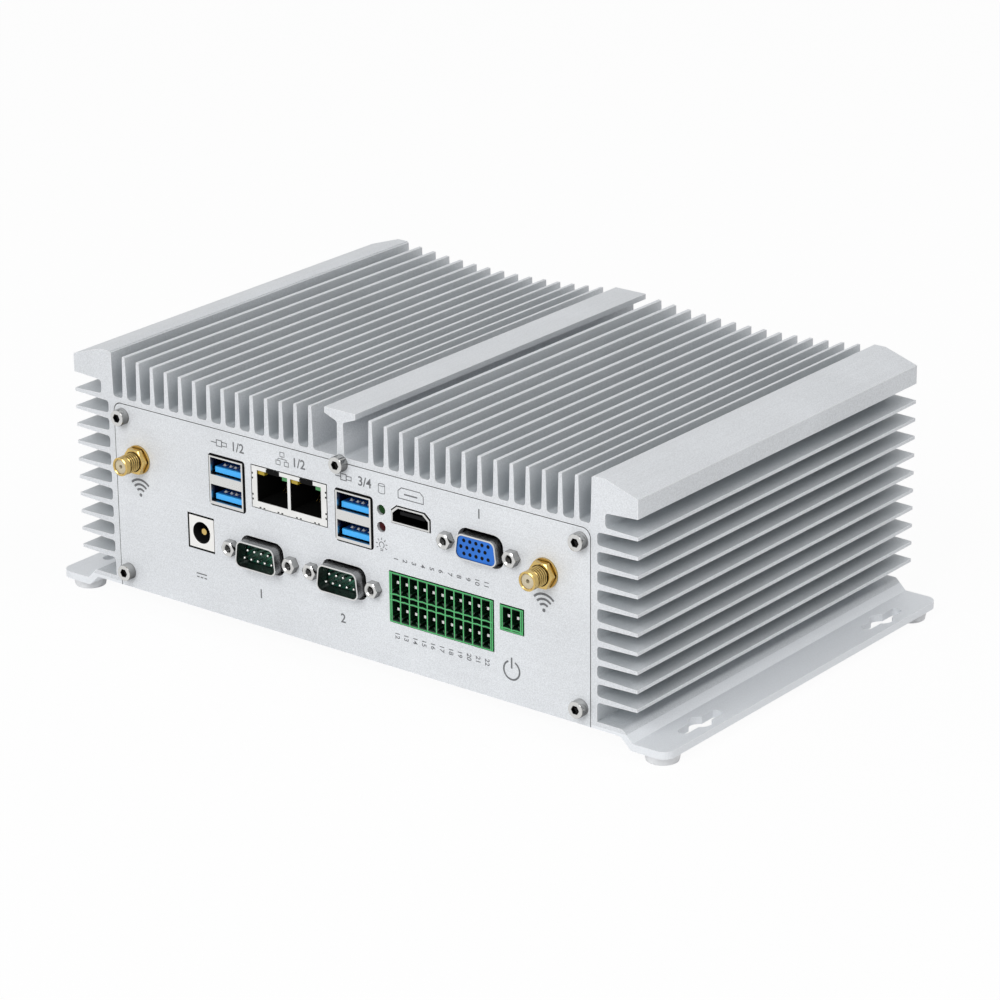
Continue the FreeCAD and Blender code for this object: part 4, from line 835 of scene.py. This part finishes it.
class COMPUTER_OT_antenna_sockets(bpy.types.Operator):
    """Adds the threaded barrels and hexagon nuts of the two antenna sockets"""

    bl_idname = "computer.antenna_sockets"
    bl_label = "Antenna sockets"

    def execute(self, context):
        looks = context.scene.computer_looks
        gold = bpy.data.materials["gold_plating"]
        washer = 0.7
        nuts = []
        for index in (1, 2):
            node = f"antenna_socket_{index}"
            x, _, z = middle(node)
            barrel = antenna_barrel(x, z, -start_of(node), looks.thread_pitch, looks.thread_depth)
            build(f"antenna_barrel_{index}", [barrel], gold, [node])
            nuts.append(antenna_nut(x, z, washer))
        build("antenna_hex_nuts", nuts, gold, ["antenna_nuts"])
        return {"FINISHED"}


def strip(x, z, start, end, width, rise, peak):
    """Contact strip along the depth: a half-round section whose height has a hump, rise times a bell curve
    about its peak."""
    lift, bell = 0.06, 0.45
    depth = np.linspace(start, end, 28)[:, None]
    turn = np.linspace(0, math.pi, 7)[None, :]
    hump = rise * np.exp(-((depth - peak) / bell) ** 2)
    points = place(x + width / 2 * np.cos(turn) + 0 * depth, depth + 0 * turn,
                   z + (lift + hump) * np.sin(turn))
    return points, False


def wire(x, floor):
    """Round wire that rises from a bay's floor towards its back: a circle carried along a slanted line."""
    radius, start, run, lift = 0.16, 9.0, 4.6, 0.5
    share = np.linspace(0, 1, 8)[:, None]
    turn = np.linspace(0, TURN, 8, endpoint=False)[None, :]
    depth = start + run * share
    rise = floor + lift + run * share
    points = place(x + radius * np.cos(turn) + 0 * share, depth + 0 * turn, rise + radius * np.sin(turn))
    first, last = (np.broadcast_to(ring.mean(axis=1, keepdims=True), ring.shape)
                   for ring in (points[:1], points[-1:]))
    return np.concatenate((first, points, last)), True


def data_strips(index):
    """Four contact strips on each of the two tongues of a stacked data port."""
    node = f"data_port_{index}_tongues"
    x, base = middle(node)[0], borders(node)[2]
    tongue_top, storey = 2.3, 9.0
    return [strip(x + offset, base + port + tongue_top, start=2.6, end=4.4, width=1.05, rise=0.6, peak=3.3)
            for port in (0.0, storey) for offset in (-3.5, -1.0, 1.0, 3.5)]


def network_wires():
    """Eight spring wires in each bay of the network jack."""
    bay_floor, pitch = 2.4, 1.02
    x, base = middle("network_jack_shield")[0], borders("network_jack_shield")[2]
    return [wire(x + bay + (k - 3.5) * pitch, base + bay_floor) for bay in BAYS for k in range(8)]


def serial_pin_patches():
    """Nine domed pins in each serial port, five below and four above."""
    radius, pitch, row, long = 0.5, 2.8, 1.425, 4.1
    profile = [*dome(radius, radius, 0.0, 5), (radius, long), (0.0, long)]
    start = start_of("serial_pins")
    pins = []
    for index in (1, 2):
        x, _, z = middle(f"serial_port_{index}_insulator")
        for count, rise in ((5, -row), (4, row)):
            spots = (x + pitch * (k - (count - 1) / 2) for k in range(count))
            pins += [turned(spot, z + rise, profile, 14, -1.0, start) for spot in spots]
    return pins


def video_holes():
    """Fifteen dark discs of painted shade for the pin holes on the analogue video face, in three rows of
    which the middle one is shifted.
    """
    radius, pitch, row = 0.62, 2.3, 2.1
    x, _, z = middle("analog_video_insulator")
    face = start_of("analog_video_insulator")
    profile = [(radius, -SKIN), (0.0, -SKIN)]
    return [turned(x + pitch * (k - 2 + shift), z + rise, profile, 16, -1.0, face)
            for rise, shift in ((-row, 0.0), (0.0, -0.5), (row, 0.0)) for k in range(5)]


class COMPUTER_OT_contacts(bpy.types.Operator):
    """Adds the contacts and pins of the sockets, and dark discs of painted shade for the pin holes"""

    bl_idname = "computer.contacts"
    bl_label = "Contacts"

    def execute(self, context):
        tips = moulded("contact_tips", (0.78, 0.80, 0.82, 1.0), 0.25)
        tips.feed(Metallic=0.35)
        tin = plated("pin_metal", (0.62, 0.62, 0.60, 1.0), 0.22).material
        for index in (1, 2):
            build(f"data_contacts_{index}", data_strips(index), tips.material, outward=UP)
        build("network_contacts", network_wires(), bpy.data.materials["gold_plating"])
        build("serial_contacts", serial_pin_patches(), tin, ["serial_pins"])
        # Painted shade for the analogue video pin holes.
        dark_sheets("analog_mouths", video_holes())
        return {"FINISHED"}


def rounded_loop(low, high, radius):
    """Points round a rectangle with rounded corners, anticlockwise from its lower left corner's arc."""
    corners = ((low[0] + radius, low[1] + radius, 180), (high[0] - radius, low[1] + radius, 270),
               (high[0] - radius, high[1] - radius, 0), (low[0] + radius, high[1] - radius, 90))
    return np.concatenate([arc(x, z, radius, start, start + 90, 6) for x, z, start in corners])


def rectangle(x, z, wide, tall):
    """Flat grid of a rectangle's four corners, from its middle and its sizes."""
    half = np.array((-0.5, 0.5))
    return np.stack(np.meshgrid(x + wide * half, z + tall * half), axis=-1)


def notch_patches():
    """Rectangles of painted shade on the network jack's face, from their middles and sizes: the latch mouths,
    the spring slots below and those at the sides."""
    x = middle("network_jack_shield")[0]
    _, _, bottom, top = borders("network_jack_shield")
    spots = [(x + bay + 0.4, top - 0.8, 5.2, 1.62) for bay in BAYS]
    spots += [(x + step + side * 0.8, bottom + 0.25, 0.7, 0.4) for step in (-11.2, -3.8, 3.8, 11.2)
              for side in (-1, 1)]
    spots += [(x + side * 15.0, bottom + rise, 0.5, 0.6) for side in (-1, 1)
              for rise in (2.6, 4.2, 9.6, 11.2)]
    return laid([rectangle(*spot) for spot in spots], start_of("network_jack_shield") - SKIN)


def gap_patches():
    """Dark bands of painted shade round both data ports, and round the inlet but for its right side."""
    gap, inlet_right, radius = 0.32, 0.3, 0.9
    bands = []
    for index in (1, 2):
        left, right, bottom, top = borders(f"data_port_{index}_shell")
        loop = rounded_loop((left - gap, bottom - gap), (right + gap, top + gap), radius)
        bands.append(ribbon(loop, 2 * gap, True))
    left, right, bottom, top = borders("power_inlet")
    end, low, high = right + inlet_right, bottom - gap, top + gap
    bands.append(ribbon([(end, high), (left - gap, high), (left - gap, low), (end, low)], 2 * gap))
    return laid(bands, -SKIN)


class COMPUTER_OT_jack_notches(bpy.types.Operator):
    """Adds dark sheets of painted shade for the gaps round the data ports and the inlet, and for the notches
    in the network jack's face
    """

    bl_idname = "computer.jack_notches"
    bl_label = "Jack notches"

    def execute(self, context):
        dark_sheets("jack_notches", notch_patches() + gap_patches())
        return {"FINISHED"}


def seam(node):
    """Band of painted shade up one side of an end panel, over its top with rounded corners, and down the
    other side.
    """
    radius, width = 3.0, 0.2
    left, right, bottom, top = borders(node)
    path = np.concatenate(([(right, bottom)], arc(right - radius, top - radius, radius, 0, 90, 8),
                           arc(left + radius, top - radius, radius, 90, 180, 8), [(left, bottom)]))
    return ribbon(path, width)


class COMPUTER_OT_panel_seams(bpy.types.Operator):
    """Adds a fine dark band of painted shade over the seam between each end panel and the housing"""

    bl_idname = "computer.panel_seams"
    bl_label = "Panel seams"

    def execute(self, context):
        for end, depth, outward in (("front", -SKIN, FRONT), ("rear", end_of("rear_panel") + SKIN, BACK)):
            dark_sheets(f"{end}_seam", laid([seam(f"{end}_panel")], depth), outward)
        return {"FINISHED"}


class COMPUTER_OT_status_lights(bpy.types.Operator):
    """Adds the domed lenses of the two status lights"""

    bl_idname = "computer.status_lights"
    bl_label = "Status lights"

    def execute(self, context):
        radius, rise, tip, end = 1.62, 1.15, 0.15, 5.8
        profile = [*dome(radius, rise, tip, 9), (radius, end), (0.0, end)]
        for name in ("green", "red"):
            node = f"status_light_{name}"
            x, _, z = middle(node)
            build(f"status_lens_{name}", [turned(x, z, profile, 40)], bpy.data.materials[f"{name}_dome"],
                  [node])
        return {"FINISHED"}


# Printed marks

def ribbon(points, width, closed=False):
    """Flat band along a path of (x, z) points: each point moved half the width to both sides, square to the
    mean direction of its two sides, and further at a bend to keep the band's width."""
    path = np.asarray(points, float)
    if closed:
        before = path - np.roll(path, 1, axis=0)
        after = np.roll(path, -1, axis=0) - path
    else:
        steps = np.diff(path, axis=0)
        before = np.concatenate((steps[:1], steps))
        after = np.concatenate((steps, steps[-1:]))
    before /= np.linalg.norm(before, axis=1, keepdims=True)
    after /= np.linalg.norm(after, axis=1, keepdims=True)
    mean = before + after
    mean /= np.linalg.norm(mean, axis=1, keepdims=True)
    side = np.stack((-mean[:, 1], mean[:, 0]), axis=1)
    miter = 1 / np.maximum(0.4, np.sum(mean * after, axis=1))[:, None]
    left = path + side * width / 2 * miter
    right = path - side * width / 2 * miter
    rows = np.stack((left, right), axis=0)
    if closed:
        rows = np.concatenate((rows, rows[:, :1]), axis=1)
    return rows


def arc(x, z, radius, start, end, count=24):
    """Points at a radius round (x, z), from one angle to another in degrees."""
    turn = np.radians(np.linspace(start, end, count))
    return np.stack((x + radius * np.cos(turn), z + radius * np.sin(turn)), axis=1)


def wave_mark(x, z):
    """Dot with three arcs above it, each opening upwards."""
    dot, pen = 0.3, 0.75
    arcs = [ribbon(arc(x, z, radius, 45, 135), pen) for radius in (2.0, 3.6, 5.2)]
    return [ribbon(arc(x, z, dot, 0, 360), 2 * dot), *arcs]


def power_mark(x, z):
    """Broken ring with an upright bar."""
    pen, radius, bar_low, bar_high = 0.6, 3.0, 0.6, 4.2
    ring = arc(x, z, radius, 115, 425, 48)
    return [ribbon(ring, pen), ribbon([(x, z + bar_low), (x, z + bar_high)], pen)]


def lamp_mark(x, z):
    """Small bulb with rays round its upper side, over two short bars."""
    pen, bulb, ray_start, ray_end = 0.28, 0.95, 1.55, 2.35
    bar_pen, bar, drops = 0.26, 0.55, (1.35, 1.85)
    shapes = [ribbon(arc(x, z, bulb, -60, 240), pen)]
    for turn in np.radians(np.arange(-30, 211, 40)):
        ray = np.array((math.cos(turn), math.sin(turn)))
        shapes.append(ribbon([(x, z) + ray * ray_start, (x, z) + ray * ray_end], pen))
    return shapes + [ribbon([(x - bar, z - drop), (x + bar, z - drop)], bar_pen) for drop in drops]


def disc_mark(x, z):
    """Upright drum: an ellipse for its lid, two sides and a half ellipse below."""
    pen, wide, tall, flat = 0.22, 1.25, 1.2, 0.4

    def ellipse(level, turn):
        return np.stack((x + wide * np.cos(turn), level + flat * np.sin(turn)), axis=1)

    lid = ellipse(z + tall, np.linspace(0, TURN, 30, endpoint=False))
    base = ellipse(z - tall, np.linspace(math.pi, TURN, 14))
    sides = np.concatenate(([(x - wide, z + tall)], base, [(x + wide, z + tall)]))
    return [ribbon(lid, pen, True), ribbon(sides, pen)]


def socket_mark(x, z):
    """Outline of the digital video socket, with cut upper corners."""
    wide, cut, low, high, shoulder = 4.9, 3.6, 1.7, 1.8, 0.7
    outline = [(x - wide, z - low), (x + wide, z - low), (x + wide, z + shoulder), (x + cut, z + high),
               (x - cut, z + high), (x - wide, z + shoulder)]
    bar = [(x - 2.6, z - 0.1), (x + 2.6, z - 0.1)]
    return [ribbon(outline, 0.3, True), ribbon(bar, 0.5)]


def square_loop(x, z, wide, tall, pen):
    """Outline of a rectangle that reaches a width and a height to each side of its middle."""
    corners = [(x - wide, z - tall), (x + wide, z - tall), (x + wide, z + tall), (x - wide, z + tall)]
    return ribbon(corners, pen, True)


def network_mark(x, z):
    """One box above, joined to two boxes below."""
    pen, wide, tall, side = 0.24, 0.85, 0.7, 1.7
    upper, lower, lower_top, upper_bottom = 1.5, -1.4, -0.6, 0.7
    shapes = [square_loop(x, z + upper, wide, tall, pen)]
    for at in (x - side, x + side):
        shapes.append(square_loop(at, z + lower, wide, tall, pen))
        shapes.append(ribbon([(at, z + lower_top), (at, z), (x, z)], pen))
    shapes.append(ribbon([(x, z), (x, z + upper_bottom)], pen))
    return shapes


def plug_mark(x, z):
    """Side view of a flat plug on its lead."""
    lead = ribbon([(x - 3.4, z), (x - 1.2, z)], 0.32)
    return [lead, square_loop(x - 0.1, z, 1.1, 1.0, 0.3), square_loop(x + 2.0, z, 1.0, 0.6, 0.28)]


def steady_mark(x, z):
    """Long bar over three short ones, for a steady supply."""
    pen, lift, long, short, step = 0.42, 0.6, 2.2, 0.55, 1.6
    bars = [(x, z + lift, long), *((x + k * step, z - lift, short) for k in (-1, 0, 1))]
    return [ribbon([(at - half, level), (at + half, level)], pen) for at, level, half in bars]


def number(text, x, z, height, turn=0.0):
    """Digits as a flat mesh, turned on the panel and centred on a point."""
    digit_share, boldness = 0.7, 0.02
    curve = bpy.data.curves.new("digits", "FONT")
    curve.body = text
    curve.size = height * MM / digit_share
    curve.offset = height * MM * boldness
    curve.align_x = "CENTER"
    curve.align_y = "CENTER"
    item = bpy.data.objects.new("digits", curve)
    bpy.context.scene.collection.objects.link(item)
    bpy.context.view_layer.update()
    mesh = bpy.data.meshes.new_from_object(item.evaluated_get(bpy.context.evaluated_depsgraph_get()))
    bpy.data.objects.remove(item)
    upright = Matrix.Rotation(math.pi / 2, 4, "X") @ Matrix.Rotation(math.radians(turn), 4, "Z")
    mesh.transform(Matrix.Translation(Vector(place(x, 0.0, z).tolist())) @ upright)
    return mesh


def sign_shapes():
    """Bands of all the signs, each sign by the socket that it belongs to."""
    left, right = middle("antenna_socket_1")[0], middle("antenna_socket_2")[0]
    signs = (
        (wave_mark, left + 0.2, 33.3), (wave_mark, right - 0.5, 33.3), (power_mark, 65.5, 10.8),
        (lamp_mark, 15.6, 39.6), (disc_mark, 16.0, 58.0), (socket_mark, 27.4, 58.2),
        (network_mark, -23.9, 58.8), (plug_mark, -50.0, 58.4), (plug_mark, 1.0, 58.4),
        (steady_mark, -59.6, 11.4),
    )
    return [shape for sign, x, z in signs for shape in sign(x, z)]


def number_meshes(tall, pin_tall):
    """Meshes of the numbers by the sockets, and of those above and below the large block's ways."""
    spots = (("1/2", -42.4, 58.4), ("1/2", -17.2, 58.6), ("3/4", 9.3, 58.4), ("1", 53.6, 58.2),
             ("1", -34.4, 11.2), ("2", -0.6, 11.2))
    meshes = [number(text, x, z, tall) for text, x, z in spots]
    first = middle("terminal_block_large")[0] - (LARGE_BLOCK_WAYS - 1) / 2 * WAY_PITCH
    for k in range(LARGE_BLOCK_WAYS):
        for value, z in ((k + 1, 36.3), (k + 1 + LARGE_BLOCK_WAYS, 11.0)):
            meshes.append(number(str(value), first + WAY_PITCH * k, z, pin_tall, -90.0))
    return meshes


class COMPUTER_OT_marks(bpy.types.Operator):
    """Prints the plain signs and numbers on the front panel"""

    bl_idname = "computer.marks"
    bl_label = "Panel marks"

    def execute(self, context):
        looks = context.scene.computer_looks
        printed = ink("grey_ink", tuple(looks.legend))
        build("panel_signs", laid(sign_shapes(), -looks.mark_lift), printed, outward=FRONT)
        joined = bmesh.new()
        for mesh in number_meshes(looks.digit_height, looks.pin_digit_height):
            joined.from_mesh(mesh)
            bpy.data.meshes.remove(mesh)
        bmesh.ops.translate(joined, verts=joined.verts, vec=(0, -looks.mark_lift * MM, 0))
        digits = bpy.data.meshes.new("panel_numbers")
        joined.to_mesh(digits)
        joined.free()
        hang(bpy.data.objects.new("panel_numbers", digits), printed)
        return {"FINISHED"}


# Studio

def lamp(name, spot, target, size, power):
    """Square area lamp at a spot in metres, aimed at a target."""
    data = bpy.data.lights.new(name, "AREA")
    data.energy = power
    data.size = size
    item = bpy.data.objects.new(name, data)
    aim = Vector(target) - Vector(spot)
    item.matrix_world = Matrix.Translation(Vector(spot)) @ aim.to_track_quat("-Z", "Y").to_matrix().to_4x4()
    bpy.context.scene.collection.objects.link(item)


def photo_camera():
    """Camera of the photograph: it looks at a point from an azimuth and an elevation, turned a little about
    its axis. The image's width of 1000 pixels is the sensor's width."""
    azimuth, elevation, roll = (math.radians(angle) for angle in (38.155, 20.702, -0.556))
    target = Vector(place(13.18, 61.7, 34.95).tolist())
    distance = 1.2019
    focal_pixels, image_pixels = 3781.183, 1000
    back = Vector((math.sin(azimuth) * math.cos(elevation), -math.cos(azimuth) * math.cos(elevation),
                   math.sin(elevation)))
    level = Vector((math.cos(azimuth), math.sin(azimuth), 0.0))
    upright = back.cross(level)
    right = level * math.cos(roll) + upright * math.sin(roll)
    up = upright * math.cos(roll) - level * math.sin(roll)
    data = bpy.data.cameras.new("photo_camera")
    data.sensor_width = 36.0
    data.lens = focal_pixels / image_pixels * data.sensor_width
    item = bpy.data.objects.new("photo_camera", data)
    spin = Matrix((right, up, back)).transposed().to_4x4()
    item.matrix_world = Matrix.Translation(target + back * distance) @ spin
    bpy.context.scene.collection.objects.link(item)
    bpy.context.scene.camera = item


def floor_paint(share):
    """Pale floor that keeps the computer's shadow: a share of plain white where it is seen, over a lit
    surface."""
    pale, paler = (0.90, 0.90, 0.90, 1.0), (0.93, 0.93, 0.93, 1.0)
    paint = Paint("pale_floor", Roughness=0.9)
    paint.colour(paint.noise(60.0), pale, paler)
    white = paint.add("ShaderNodeEmission", values={"Strength": 1.0})
    paint.send_mix(paint.seen() * share, Term(paint, paint.shader.outputs[0]), white)
    return paint.material


def studio_world(ambient):
    """White where the world is seen, and a softer level where it lights the computer."""
    world = bpy.data.worlds.new("studio")
    world.use_nodes = True
    nodes = Nodes(world.node_tree)
    nodes.tree.nodes.remove(nodes.tree.nodes["Background"])
    light, white = (nodes.add("ShaderNodeBackground", values={"Color": (1, 1, 1, 1), "Strength": strength})
                    for strength in (ambient, 1.0))
    nodes.send_mix(nodes.seen(), light, white)
    bpy.context.scene.world = world


class COMPUTER_OT_studio(bpy.types.Operator):
    """Sets the pale floor, the soft light and the photograph's camera"""

    bl_idname = "computer.studio"
    bl_label = "Studio"

    def execute(self, context):
        looks = context.scene.computer_looks
        half, below_feet = 3.0, 0.05
        level = CAD_BOX[0][2] - below_feet * MM
        mesh = bpy.data.meshes.new("floor")
        corners = [(-half, -half, level), (half, -half, level), (half, half, level), (-half, half, level)]
        mesh.from_pydata(corners, [], [(0, 1, 2, 3)])
        floor = bpy.data.objects.new("floor", mesh)
        bpy.context.scene.collection.objects.link(floor)
        mesh.materials.append(floor_paint(looks.floor_white))
        aim = (0, 0, 0.04)
        lamp("key_lamp", (0.15, -1.8, 1.3), aim, 1.2, looks.key_power)
        lamp("side_lamp", (1.3, 0.1, 1.7), aim, 0.9, looks.side_power)
        studio_world(looks.ambient)
        photo_camera()
        bpy.context.scene.view_settings.view_transform = "Standard"
        return {"FINISHED"}


class COMPUTER_PT_looks(bpy.types.Panel):
    """Lists the computer's settings and steps in the sidebar"""

    bl_idname = "COMPUTER_PT_looks"
    bl_label = "Computer"
    bl_space_type = "VIEW_3D"
    bl_region_type = "UI"
    bl_category = "Computer"

    def draw(self, context):
        looks = context.scene.computer_looks
        for name in looks.bl_rna.properties.keys():
            if name not in ("rna_type", "name"):
                self.layout.prop(looks, name)
        for step in STEPS:
            self.layout.operator(step.bl_idname)


STEPS = (
    COMPUTER_OT_finish_parts,
    COMPUTER_OT_cap_screws,
    COMPUTER_OT_jackscrews,
    COMPUTER_OT_antenna_sockets,
    COMPUTER_OT_contacts,
    COMPUTER_OT_jack_notches,
    COMPUTER_OT_panel_seams,
    COMPUTER_OT_status_lights,
    COMPUTER_OT_marks,
    COMPUTER_OT_studio,
)
CLASSES = (ComputerLooks, *STEPS, COMPUTER_PT_looks)


def register():
    for item in CLASSES:
        bpy.utils.register_class(item)
    bpy.types.Scene.computer_looks = PointerProperty(type=ComputerLooks)


def unregister():
    del bpy.types.Scene.computer_looks
    for item in reversed(CLASSES):
        bpy.utils.unregister_class(item)


def main():
    register()
    for step in STEPS:
        family, name = step.bl_idname.split(".")
        getattr(getattr(bpy.ops, family), name)()


if __name__ == "__main__":
    main()
